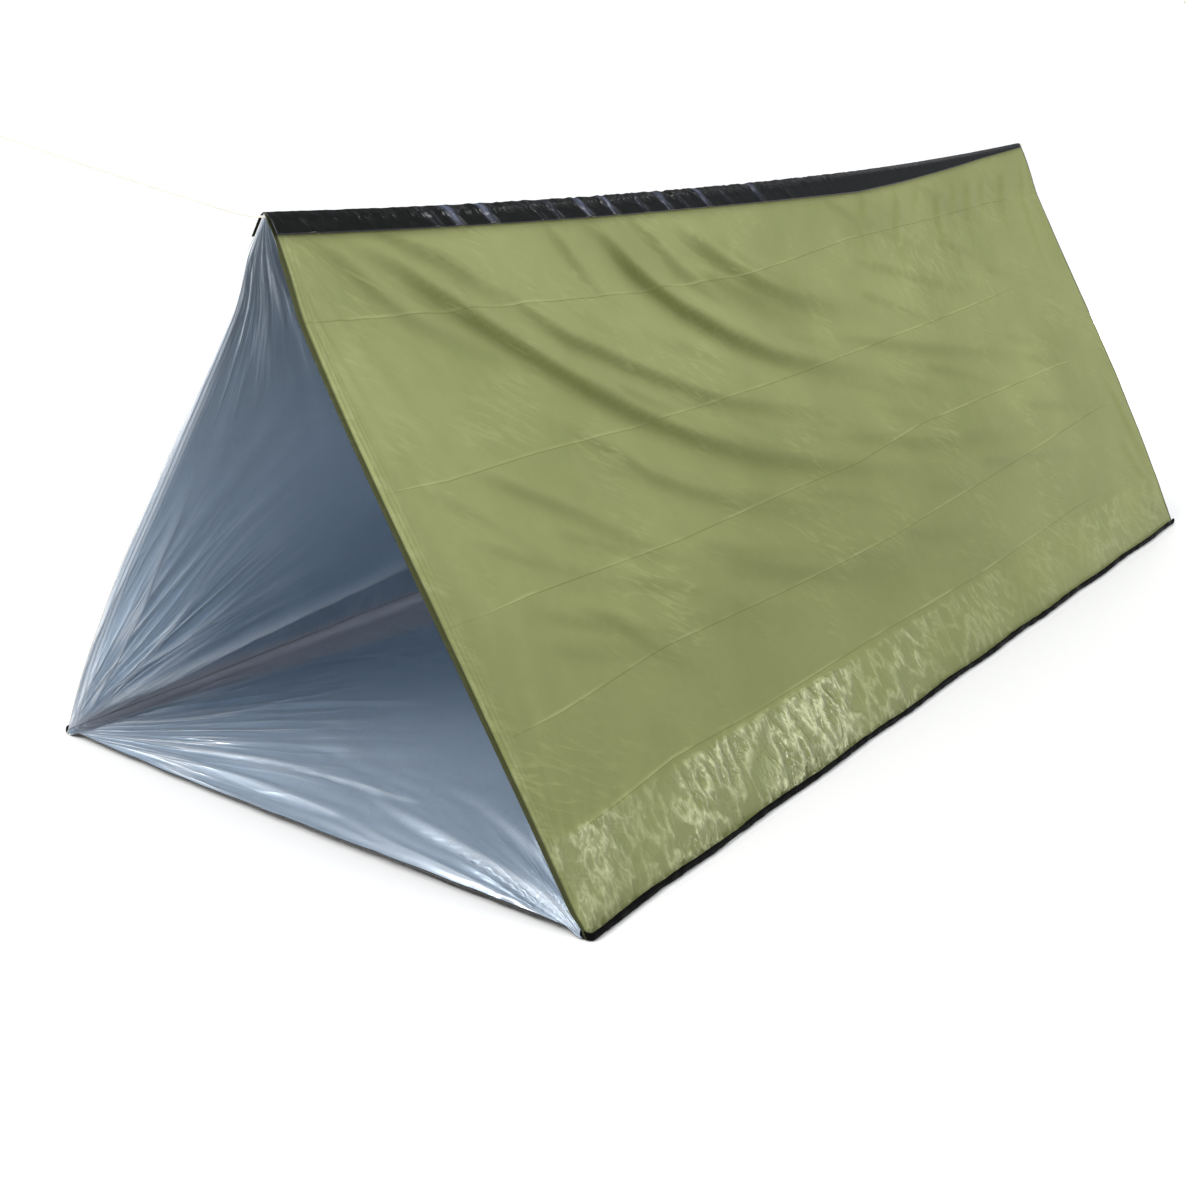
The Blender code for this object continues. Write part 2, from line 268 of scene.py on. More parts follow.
# Low-density polyethylene film, blown and pigmented olive: satin, with a faint haze of
# colour where it is thinner, and painted shade in the fold hollows, towards the foot and along the cut edges;
# stretched creases get stress whitening with painted highlights, and crumpled ridges painted glints
oliveSettings = {
    "colour": "#8A8F5F",
    "thinColour": "#929765",
    "thickColour": "#828858",
    "foldShadeColour": "#626737",
    "whiteningAndHighlightColour": "#B4B884",
    "whiteningAndGlintColour": "#D0D4A6",
    "edgeShadeColour": "#2A2D14",
    "patchSize": 0.34,
    "tones": (0.3, 0.7),
    "footShadeRange": (0.15, 0.75, 0, 0.36),
    "nearerShadeRange": (0.0, 0.9, 1, 0.1),
    "foldLine": 0.0026,
    "breaks": {"Scale": 7, "Detail": 2},
    "darkShare": (0.36, 0.56, 0.35, 0.85),
    "paleShare": (0.56, 0.40, 0, 0.4),
    "coarse": {"size": 0.034, "stretch": 1.7, "turn": 0.35, "seed": 3.0, "distortion": 0.15},
    "coarseHeight": 0.0052,
    "fine": {"size": 0.012, "stretch": 1.6, "turn": -0.5, "seed": 8.0},
    "fineHeight": 0.0010,
    "whiteningAndGlint": (0.62, 1.15, 0, 0.72),
    "chips": (0.45, 1.05, 0.35, 1.15),
    "cornerFan": (7, 0.30),
    "peakFan": (9, 0.26),
    "fanHeight": 0.004,
    "streakSize": 0.016,
    "streakStretch": 6.0,
    "streakTurn": -1.0,
    "streakDistortion": 0.45,
    "streakPatches": (0.44, 0.68),
    "streakPatchNoise": {"Scale": 5.5, "Detail": 3, "Roughness": 0.6},
    "streakCrests": (0.80, 1.25),
    "streakShare": 0.17,
    "streakHeight": 0.0007,
    "roughness": (0.1, 0.8, 0.46, 0.17),
    "gloss": (0.1, 0.8, 0.14, 0.62),
    "ior": 1.5,
}


def addStreaks(add, place, s):  # long fine creases that run with the folds, in patches: height and crests
    turn, stretch = (0, 0, s["streakTurn"]), (1, s["streakStretch"], 1)
    turned = add("Mapping", "TEXTURE", Vector=place, Rotation=turn, Scale=stretch)
    noise = {"Scale": 1 / s["streakSize"], "Distortion": s["streakDistortion"], **creaseNoise}
    lines = add("TexNoise", "RIDGED_MULTIFRACTAL", Vector=turned, **noise)
    where = add("TexNoise", None, Vector=place, **s["streakPatchNoise"])
    patch = add("MapRange", "SMOOTHSTEP", where, *s["streakPatches"])
    crest = add("MapRange", "SMOOTHSTEP", lines, *s["streakCrests"])
    return add("Math", "MULTIPLY", lines, patch), add("Math", "MULTIPLY", crest, patch)


def makeOliveFilm():
    s = oliveSettings
    material, add, shader = startMaterial("olive polyethylene film")
    names = ("crease", "crumple", "slack", "edge")
    crease, crumple, slack, edge = [add("Attribute", name).outputs["Fac"] for name in names]
    place = add("UVMap", "UVMap")
    patches = add("TexNoise", None, Vector=place, Scale=1 / s["patchSize"], **patchNoise)
    colour = add("ValToRGB", None, patches)
    ramp = colour.color_ramp.elements
    ramp[0].position, ramp[1].position = s["tones"]
    ramp[0].color = hexColour(s["thickColour"])
    ramp[1].color = hexColour(s["thinColour"])
    ramp.new(sum(s["tones"]) / 2).color = hexColour(s["colour"])
    parts = add("SeparateXYZ", None, place).outputs
    # Painted shade: the olive is darkened towards the foot, most in the front half
    footShade = add("MapRange", "SMOOTHSTEP", parts["Y"], *s["footShadeRange"])
    nearer = add("MapRange", "SMOOTHSTEP", parts["X"], *s["nearerShadeRange"])
    lowerShade = add("Math", "MULTIPLY", footShade, nearer)
    # A pack fold is a thin line, with painted shade beside it and stress whitening with a painted highlight on
    # its ridge, broken here and there
    breaks = add("TexNoise", None, Vector=place, **s["breaks"])
    foldLines = []
    for side, reach, shares in (("GREATER_THAN", (0, s["foldLine"], 1, 0), s["darkShare"]),
                                ("LESS_THAN", (-2 * s["foldLine"], 0, 0, 1), s["paleShare"])):
        line = add("MapRange", None, crease, *reach)
        beside = add("Math", side, crease, 0)
        oneSided = add("Math", "MULTIPLY", line, beside)
        share = add("MapRange", None, breaks, *shares)
        foldLines.append(add("Math", "MULTIPLY", oneSided, share))
    # Sharp crinkles where the film is crumpled, with stress whitening and painted glints on their ridges, and
    # fine creases from the corners
    coarse = addCrinkles(add, place, **s["coarse"])
    fine = addCrinkles(add, place, **s["fine"])
    ridges = add("MapRange", "SMOOTHSTEP", coarse, *s["whiteningAndGlint"])
    chips = add("MapRange", None, fine, *s["chips"])
    chipped = add("Math", "MULTIPLY", ridges, chips)
    whitenedAndGlinting = add("Math", "MULTIPLY", chipped, crumple)
    # The crests of the streaks are painted paler: stress whitening and painted highlights
    streakHeight, streakCrests = addStreaks(add, place, s)
    streaked = add("Math", "MULTIPLY", streakCrests, s["streakShare"])
    # Painted shade in the fold hollows, towards the foot and beside each pack fold
    layers = [(lowerShade, "foldShadeColour"), (slack, "foldShadeColour"), (foldLines[0], "foldShadeColour")]
    layers += [(foldLines[1], "whiteningAndHighlightColour"), (whitenedAndGlinting, "whiteningAndGlintColour"), (streaked, "whiteningAndHighlightColour")]
    # The thin line along the cut edges is painted shade
    for share, tint in [*layers, (edge, "edgeShadeColour")]:
        colour = add("Mix", "RGBA", Factor=share, A=colour, B=hexColour(s[tint]))
    both = add("Math", "MULTIPLY_ADD", fine, s["fineHeight"] / s["coarseHeight"], coarse)
    masked = add("Math", "MULTIPLY", both, crumple)
    crumpled = add("Math", "MULTIPLY", masked, s["coarseHeight"])
    corner, _ = addFan(add, "fromCorner", *s["cornerFan"])
    peak, _ = addFan(add, "fromPeak", *s["peakFan"])
    fans = add("Math", "ADD", corner, peak)
    fanned = add("Math", "MULTIPLY_ADD", fans, s["fanHeight"], crumpled)
    height = add("Math", "MULTIPLY_ADD", streakHeight, s["streakHeight"], fanned)
    shader.inputs["Specular IOR Level"].default_value = s["gloss"][2]
    fillInputs(shader, {
        "Base Color": colour,
        "Normal": add("Bump", None, Height=height, Distance=1, Strength=1),
        "Roughness": add("MapRange", None, crumple, *s["roughness"]),
        "Specular IOR Level": add("MapRange", None, crumple, *s["gloss"]),
        "IOR": s["ior"]})
    return material


# The same film's inner face, vacuum-metallised with aluminium: a soft mirror with a blue cast
liningSettings = {
    "colour": "#CBD8E5",
    "shadeColour": "#B0C1D1",
    "coveColour": "#CFCDD2",
    "peakColour": "#7D868E",
    "crestColour": "#FAFCFF",
    "crestShare": 0.9,
    "peakCrestShare": 0.35,
    "crestMetal": (0, 1, 0.62, 0.1),
    "coveShadeMetal": (0, 1, 1, 0.25),
    "patchSize": 0.3,
    "roughness": 0.35,
    "crinkles": {"size": 0.028, "stretch": 1.8, "turn": 0.9, "seed": 5.0},
    "crinkleHeight": 0.0008,
    "leastCrumple": 0.15,
    "cornerFan": (8, 0.62),
    "peakFan": (9, 0.42),
    "fanHeight": 0.017,
}


def makeLining():
    s = liningSettings
    material, add, shader = startMaterial("metallised film lining")
    names = ("rubbed", "dim", "crest", "edge", "crumple")
    rubbed, dim, crest, edge, crumple = [add("Attribute", name).outputs["Fac"] for name in names]
    place = add("UVMap", "UVMap")
    patches = add("TexNoise", None, Vector=place, Scale=1 / s["patchSize"], **patchNoise)
    # The crests of the creases near the corners, and the cut edge, get painted white highlights
    corner, cornerCrests = addFan(add, "fromCorner", *s["cornerFan"])
    peak, peakCrests = addFan(add, "fromPeak", *s["peakFan"])
    fainter = add("Math", "MULTIPLY", peakCrests, s["peakCrestShare"])
    fanCrests = add("Math", "MAXIMUM", cornerCrests, fainter)
    allCrests = add("Math", "MAXIMUM", fanCrests, crest)
    crestShare = add("Math", "MULTIPLY", allCrests, s["crestShare"])
    white = add("Math", "MAXIMUM", crestShare, edge)
    # In the turned-up cove the lining gets painted shade and is duller, and under the front of the ridge it
    # gets painted shade
    colour = hexColour(s["shadeColour"])
    layers = ((patches, "colour"), (rubbed, "coveColour"), (dim, "peakColour"), (white, "crestColour"))
    for share, tint in layers:
        colour = add("Mix", "RGBA", Factor=share, A=colour, B=hexColour(s[tint]))
    crinkles = addCrinkles(add, place, **s["crinkles"])
    strength = add("Math", "ADD", crumple, s["leastCrumple"])
    masked = add("Math", "MULTIPLY", crinkles, strength)
    crumpled = add("Math", "MULTIPLY", masked, s["crinkleHeight"])
    fans = add("Math", "ADD", corner, peak)
    height = add("Math", "MULTIPLY_ADD", fans, s["fanHeight"], crumpled)
    metal = add("MapRange", None, crest, *s["crestMetal"])
    kept = add("MapRange", None, rubbed, *s["coveShadeMetal"])
    fillInputs(shader, {
        "Base Color": colour,
        "Normal": add("Bump", None, Height=height, Distance=1, Strength=1),
        "Metallic": add("Math", "MULTIPLY", metal, kept),
        "Roughness": s["roughness"]})
    return material


# Carbon-black polyethylene film, thicker and blown glossy: near black with sharp reflections,
# drawn over the cord so that it wrinkles slantwise
blackSettings = {
    "colour": "#0B0B09",
    "roughness": (0.3, 0.7, 0.16, 0.288),
    "gloss": 0.36,
    "ior": 1.5,
    "crinkles": {"size": 0.016, "stretch": 3.0, "turn": 0.0, "seed": 2.0},
    "crinkleHeight": 0.0020,
    "scuffs": {"Scale": 60, "Detail": 2},
    "stripHighlightColour": "#8189A8",
    "stripHighlightShare": 0.62,
}
# The same black film where it is welded: melted, so duller and darker
weldSettings = {
    **blackSettings,
    "colour": "#040404",
    "roughness": (0.3, 0.7, 0.45, 0.81),
    "gloss": 0.06,
    "lumpScale": 62.5,
    "crinkleHeight": 0.0004,
}


def makeBlackFilm(name, s, creased):
    material, add, shader = startMaterial(name)
    if creased:
        place = add("UVMap", "UVMap")
        crumple, drawn = [add("Attribute", name).outputs["Fac"] for name in ("crumple", "drawn")]
        height = add("Math", "MULTIPLY", addCrinkles(add, place, **s["crinkles"]), crumple)
    else:
        place = add("TexCoord").outputs["Object"]
        height = add("TexNoise", None, Vector=place, Scale=s["lumpScale"], Detail=s["scuffs"]["Detail"])
    scuffs = add("TexNoise", None, Vector=place, **s["scuffs"])
    fillInputs(shader, {
        "Base Color": hexColour(s["colour"]),
        "Normal": add("Bump", None, Height=height, Distance=s["crinkleHeight"], Strength=1),
        "Roughness": add("MapRange", None, scuffs, *s["roughness"]),
        "IOR": s["ior"],
        "Specular IOR Level": s["gloss"]})
    if creased:  # and with painted bluish highlights along the folds where it is drawn over the cord
        paler = add("Math", "MULTIPLY", drawn, s["stripHighlightShare"])
        broken = add("Math", "MULTIPLY", paler, scuffs)
        colour = add("Mix", "RGBA", Factor=broken, A=hexColour(s["colour"]), B=hexColour(s["stripHighlightColour"]))
        fillInputs(shader, {"Base Color": colour})
    return material


# Twisted polypropylene cord, undyed: pale and slightly fuzzy, darker between the strands
fibreSettings = {
    "colour": "#FBF8F0",
    "dirtColour": "#E4DED0",
    "roughness": 0.62,
    "size": 0.0008,
    "noise": {"Detail": 2, "Roughness": 0.6},
}


def makeCordMaterial():
    s = fibreSettings
    material, add, shader = startMaterial("twisted polypropylene cord")
    place = add("TexCoord").outputs["Object"]
    fibres = add("TexNoise", None, Vector=place, Scale=1 / s["size"], **s["noise"])
    colour = add("Mix", "RGBA", Factor=fibres, A=hexColour(s["dirtColour"]), B=hexColour(s["colour"]))
    fillInputs(shader, {"Base Color": colour, "Roughness": s["roughness"]})
    return material


oliveFilm = makeOliveFilm()
liningFilm = makeLining()
blackFilm = makeBlackFilm("black polyethylene film", blackSettings, True)
weldedFilm = makeBlackFilm("welded black polyethylene", weldSettings, False)
cordMaterial = makeCordMaterial()
print("tent: materials made")


# Geometry node trees take a geometry, numbers and a material, and give a mesh
def startTree(name, *numbers):
    tree = bpy.data.node_groups.new(name, "GeometryNodeTree")
    for socket in ("Geometry", *numbers, "Material"):
        kind = "Float" if socket in numbers else socket
        tree.interface.new_socket(socket, in_out="INPUT", socket_type="NodeSocket" + kind)
    tree.interface.new_socket("Mesh", in_out="OUTPUT", socket_type="NodeSocketGeometry")
    add = partial(addNode, tree)
    return add, add("NodeGroupInput").outputs


def endTree(add, given, geometry):
    solid = add("GeometryNodeRealizeInstances", None, geometry)
    dressed = add("GeometryNodeSetMaterial", None, solid, Material=given["Material"])
    return add("NodeGroupOutput", None, dressed).id_data


def moveOut(add, geometry, distance):  # moves the points along their normals
    normal = add("GeometryNodeInputNormal")
    offset = add("VectorMath", "SCALE", normal, Scale=distance)
    return add("GeometryNodeSetPosition", None, geometry, Offset=offset)


# The cord: one length, threaded through the ridge and held taut at both ends, outside the view
cordSettings = {
    "diameter": 0.003,
    "exit": 0.002,
    "rise": math.radians(17.5),
    "bend": 0.05,
    "frontLength": 0.44,
    "rearLength": 1.22,
    "sagShare": 0.004,
    "depth": 0.0041,
    "jointGap": 0.0003,
    "ridgeSpans": 60,
    "guySpans": 30,
    "guyCrowding": 1.4,
    "strands": 3,
    "lay": 0.009,
    "ringStep": 0.0012,
    "ringPoints": 15,
    "groove": 0.72,
    "knotTurns": 4,
    "knotTurnPoints": 16,
    "knotGap": 0.0005,
    "loopLength": 0.052,
    "loopWidth": 0.026,
    "loopNoseShare": 0.6,
    "loopPoints": 48,
}


def ridgeAt(y):
    return tent["ridgeHeight"] - tent["ridgeSag"] * (1 - (y / halfLength) ** 2)


def cordHeight(y):
    lean = math.atan2(halfWidth, ridgeAt(y))
    return ridgeAt(y) - cordSettings["depth"] / math.sin(lean)


def guyFrame(end):
    s = cordSettings
    reach = halfLength + s["exit"]
    start = Vector((0, end * reach, cordHeight(reach)))
    level = Vector((0, end, 4 * tent["ridgeSag"] / tent["length"])).normalized()
    rising = Vector((0, end * math.cos(s["rise"]), math.sin(s["rise"])))
    return start + level * s["jointGap"], level, rising


def guyPoint(end, length, distance):
    s = cordSettings
    start, level, rising = guyFrame(end)
    if distance < s["bend"]:
        return start + (level + (rising - level) * distance / s["bend"] / 2) * distance
    share = (distance - s["bend"]) / (length - s["bend"])
    sag = 4 * s["sagShare"] * length * share * (1 - share)
    return start + (level + rising) / 2 * s["bend"] + rising * (distance - s["bend"]) - Vector((0, 0, sag))


def twistedCordTree():  # three strands laid round each other along any curve
    s = cordSettings
    add, given = startTree("twistedCord", "Radius", "Groove", "Lay", "Ring Step")
    rings = add("GeometryNodeResampleCurve", "LENGTH", given["Geometry"], Length=given["Ring Step"])
    along = add("GeometryNodeSplineParameter").outputs["Length"]
    turns = add("Math", "DIVIDE", along, given["Lay"])
    angle = add("Math", "MULTIPLY", turns, math.tau)
    twisted = add("GeometryNodeSetCurveTilt", None, rings, Tilt=angle)
    inner = add("Math", "MULTIPLY", given["Radius"], given["Groove"])
    star = add("GeometryNodeCurveStar", None, s["strands"], inner, given["Radius"], 0.0)
    soft = add("GeometryNodeCurveSplineType", "CATMULL_ROM", star)
    outline = add("GeometryNodeResampleCurve", "COUNT", soft, Count=s["ringPoints"])
    swept = add("GeometryNodeCurveToMesh", None, twisted, outline, **{"Fill Caps": True})
    return endTree(add, given, add("GeometryNodeSetShadeSmooth", None, swept))


cordTree = twistedCordTree()


def makeCord(name, points, node, closed=False):
    s = cordSettings
    spans = list(zip(points, points[1:] + points[:1] if closed else points[1:]))
    length = sum((b - a).length for a, b in spans)
    strandTurns = max(1, round(s["strands"] * length / s["lay"]))  # a closed loop's strands meet again
    piece = bakeNodes(addLine(name, points, closed=closed), cordTree, {
        "Radius": s["diameter"] / 2, "Groove": s["groove"], "Lay": s["strands"] * length / strandTurns,
        "Ring Step": s["ringStep"], "Material": cordMaterial})
    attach(piece, "ridge_line")
    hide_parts(node)
    return piece


def makeRidgeCord():
    reach = halfLength + cordSettings["exit"]
    places = np.linspace(-reach, reach, cordSettings["ridgeSpans"] + 1).tolist()
    makeCord("ridgeCord", [Vector((0, y, cordHeight(y))) for y in places], "ridge_cord")


def makeGuy(side, end, length):
    s = cordSettings
    shares = [(i / s["guySpans"]) ** s["guyCrowding"] for i in range(s["guySpans"] + 1)]
    points = [guyPoint(end, length, length * share) for share in shares]
    line = makeCord(side + "GuyLine", points, side + "_guy_line")
    _, _, rising = guyFrame(end)
    across = Vector((1, 0, 0))
    upwards = rising.cross(across)
    tip = points[-1]
    radius = s["diameter"] + s["jointGap"]
    coil = []
    for i in range(s["knotTurns"] * s["knotTurnPoints"] + 1):
        turn = i / s["knotTurnPoints"]
        middle = tip - rising * (s["diameter"] + (s["diameter"] + s["knotGap"]) * turn)
        angle = math.tau * turn
        coil.append(middle + radius * (across * math.cos(angle) + upwards * math.sin(angle)))
    knot = makeCord(side + "GuyKnot", coil, side + "_guy_knot")
    nose = tip + rising * (s["jointGap"] + s["diameter"] / 2)
    outline = []
    for i in range(s["loopPoints"]):
        angle = math.tau * i / s["loopPoints"]
        out = math.sin(angle / 2) ** 2
        outline.append((out, math.sin(angle) * raiseFrom(s["loopNoseShare"], out)))
    scale = s["loopWidth"] / 2 / max(width for _, width in outline)
    ring = [nose + rising * s["loopLength"] * out + across * scale * width for out, width in outline]
    loop = makeCord(side + "GuyLoop", ring, side + "_guy_loop", closed=True)


makeRidgeCord()
makeGuy("front", -1, cordSettings["frontLength"])
makeGuy("rear", 1, cordSettings["rearLength"])
print("tent: cord laid")


# Crumpled film: sharp ridges, longer one way, where the attribute "crumple" says so
crumpleNoise = {**creaseNoise, "Detail": 1.5, "Lacunarity": 2.1, "Gain": 1.5, "Distortion": 0.5}
rippleDetail = 1


def filmCrumpleTree():
    numbers = ("Height", "Cell", "Stretch", "Turn", "Ripple Height", "Ripple Size", "Seed")
    add, given = startTree("filmCrumple", *numbers)
    flat = add("GeometryNodeInputNamedAttribute", "FLOAT_VECTOR", "flat")
    mask, free = [add("GeometryNodeInputNamedAttribute", "FLOAT", name) for name in ("crumple", "free")]
    shift = add("CombineXYZ", Z=given["Seed"])
    place = add("VectorMath", "ADD", flat, shift)
    turned = add("VectorRotate", "Z_AXIS", Vector=place, Angle=given["Turn"])
    shrink = add("Math", "DIVIDE", 1.0, given["Stretch"])
    scale = add("CombineXYZ", None, 1.0, shrink, 1.0)
    stretched = add("VectorMath", "MULTIPLY", turned, scale)
    pitch = add("Math", "DIVIDE", 1.0, given["Cell"])
    creases = add("TexNoise", "RIDGED_MULTIFRACTAL", Vector=stretched, Scale=pitch, **crumpleNoise)
    crumple = add("Math", "MULTIPLY", creases, given["Height"])
    masked = add("Math", "MULTIPLY", crumple, mask)
    ripplePitch = add("Math", "DIVIDE", 1.0, given["Ripple Size"])
    ripple = add("TexNoise", None, Vector=place, Scale=ripplePitch, Detail=rippleDetail)
    centred = add("Math", "SUBTRACT", ripple, 0.5)
    raised = add("Math", "MULTIPLY", centred, given["Ripple Height"])
    total = add("Math", "ADD", masked, raised)
    held = add("Math", "MULTIPLY", total, free)
    return endTree(add, given, moveOut(add, given["Geometry"], held))


crumpleTree = filmCrumpleTree()


def makeSheet(mesh, middleHeight, crumple, slot, node, lining=None):
    face = mesh.polygons[len(mesh.polygons) // 2]
    outwards = face.center - Vector((0, 0, middleHeight))
    if face.normal.dot(outwards) < 0:
        mesh.flip_normals()
    outside = oliveFilm if slot == "olive_film" else blackFilm
    sheet = bakeNodes(addObject(mesh.name, mesh), crumpleTree, {**crumple, "Material": outside})
    film = sheet.modifiers.new("film", "SOLIDIFY")
    film.thickness = tent["film"]
    film.offset = -1
    if lining:
        sheet.data.materials.append(lining)
        film.material_offset = 1
    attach(sheet, "film_tube")
    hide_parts(node)
    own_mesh(sheet)
    return sheet


# The strip over the ridge lies askew, so one side of it is wider where the other is narrower
stripSettings = {
    "halfWidth": 0.038,
    "rightWidths": ((-1.22, 0.035), (-0.3, 0.038), (0.1, 0.043), (0.33, 0.047), (0.54, 0.041), (0.79, 0.030),
                    (0.97, 0.021), (1.22, 0.014)),
    "rearStop": 0.012,
    "edgeRadius": 0.0025,
    "columns": 640,
    "flankRows": 11,
    "roundRows": 3,
    "crumple": {"Height": 0.0022, "Cell": 0.035, "Stretch": 2.0, "Turn": 0.0, "Ripple Height": 0.0,
                "Ripple Size": 0.1, "Seed": 9.0},
    "wrinkleSlant": 0.7,
    "leastWrinkled": 0.22,
    "mostWrinkledAt": -0.3,
    "wrinkledReach": 0.62,
    "wrinkledPower": 4,
    "flankShare": 0.08,
    "flankStart": 1.6,
    "bulge": 0.0030,
    "bulgeWidth": 0.014,
    # Where the strip is drawn over the cord, as (y, height)
    "drawnFolds": ((-1.17, 0.0012), (-0.935, 0.0016), (-0.89, 0.0032), (-0.815, 0.0030), (-0.70, 0.0014),
                   (-0.66, 0.0018), (-0.583, 0.0030), (-0.515, 0.0032), (-0.43, 0.0018), (-0.36, 0.0024),
                   (-0.31, 0.0016), (-0.24, 0.0024), (-0.17, 0.0016), (-0.06, 0.0022), (0.04, 0.0014)),
    "foldSlope": 0.6,
    "foldHalf": 0.0065,
    "foldSharpness": 1.3,
    "foldStart": 0.006,
    "leastHighlightFold": 0.0012,
    "highlightFoldSpan": 0.0018,
    "highlightShift": 0.003,
    "highlightReach": 0.045,
    "highlightFade": 0.03,
}


def stripEdge(y, side):
    width = np.interp(y, *np.array(stripSettings["rightWidths"]).T)
    return width if side == right else 2 * stripSettings["halfWidth"] - width


# The walls. A fold is (height, half width of its steep side, path), and a path's points are
# (y, distance down the slope), in metres
wallSettings = {
    "upperRows": 86,
    "lowerRows": 38,
    "lowerStart": 0.83,
    "bodyColumns": 332,
    "edgeColumns": 26,
    "edgeReach": 0.055,
    "rearColumns": 16,
    "rearReach": 0.04,
    "crowding": 0.3,
    "footGap": 0.002,
    "reliefStart": 0.12,
    "reliefEnd": 0.06,
    "earlyFade": 0.03,
    "hangDepth": 0.014,
    "hangPeak": 0.2,
    "footLine": 0.845,
    "footDepth": 0.011,
    "footReach": 0.26,
    "footRun": 0.45,
    "footMargins": (0.02, 0.03),
    "foldRise": 0.038,
    "foldHollow": 0.55,
    "packFoldHeight": 0.0016,
    "packFoldReach": 0.009,
    "packFoldEase": 0.1,
    "packFoldWaves": 7,
    "packFoldPhase": 2,
    "curlWidth": 0.010,
    "edgeRipple": 0.0011,
    "edgeRippleLength": 0.008,
    "edgeRippleReach": 0.02,
    "edgeRippleStart": 0.006,
    "edgeRippleBend": 2,
    "edgeRippleBends": 9,
    "frontLine": (0.0068, 0.0022),
    "rearLine": (0.0075, 0.004),
    "lineShare": 0.92,
    "crumple": {"Height": 0.0035, "Cell": 0.06, "Stretch": 2.2, "Turn": 0.3, "Ripple Height": 0.0035,
                "Ripple Size": 0.16},
    # Where the film is crumpled: a little all over, along the foot, at the front edge and in a patch far up
    "leastCrumple": 0.015,
    "footCrumple": 0.95,
    "footCrumpleFade": 0.012,
    "footCrumpleMargin": 0.002,
    # Its patches are sums of waves, as (height, waves along, waves down, phase)
    "patchLevel": 0.55,
    "patchWaves": ((0.35, 9, 0, 0.6), (0.3, 19, 18, 2)),
    "farShare": 0.2,
    "farStart": 0.1,
    "farReach": 0.55,
    "slackShare": 0.25,
    "cornerShare": 0.4,
    "cornerStart": -1.19,
    "cornerReach": 0.12,
    "edgeMargin": 0.02,
    "edgeCrumple": 0.12,
    "edgeCrumpleReach": 0.05,
    "patchCrumple": 0.11,
    "patchPlace": (0.52, 0.21),
    "patchReach": (0.24, 0.09),
    # Where the lining gets painted shade, in the cove and under the front of the ridge, and painted white
    # highlights
    "coveShadeShare": 0.9,
    "coveShadeReach": (0.03, 0.02),
    "dimShare": 0.9,
    "dimReach": (0.55, 0.42),
    "edgeCrest": 0.6,
    "edgeCrestWidth": 0.012,
    "edgeCrestReach": (0.1, 0.3),
}
packFolds = (
    ((-1.13, 0.146), (-0.9, 0.152), (-0.51, 0.162), (-0.17, 0.167), (0.24, 0.133), (0.95, 0.121)),
    ((-1.1, 0.378), (-0.91, 0.372), (-0.66, 0.373), (-0.22, 0.364), (0.27, 0.345), (0.75, 0.329)),
    ((-1.04, 0.553), (-0.7, 0.558), (-0.31, 0.549), (-0.1, 0.549), (0.19, 0.526), (0.91, 0.524)),
    ((-1.08, 0.709), (-0.82, 0.691), (-0.45, 0.697), (-0.1, 0.696), (0.52, 0.673), (0.97, 0.653)),
    ((-1.08, 0.85), (-0.9, 0.836), (-0.66, 0.841), (-0.24, 0.836), (0.2, 0.838), (0.71, 0.823)),
)
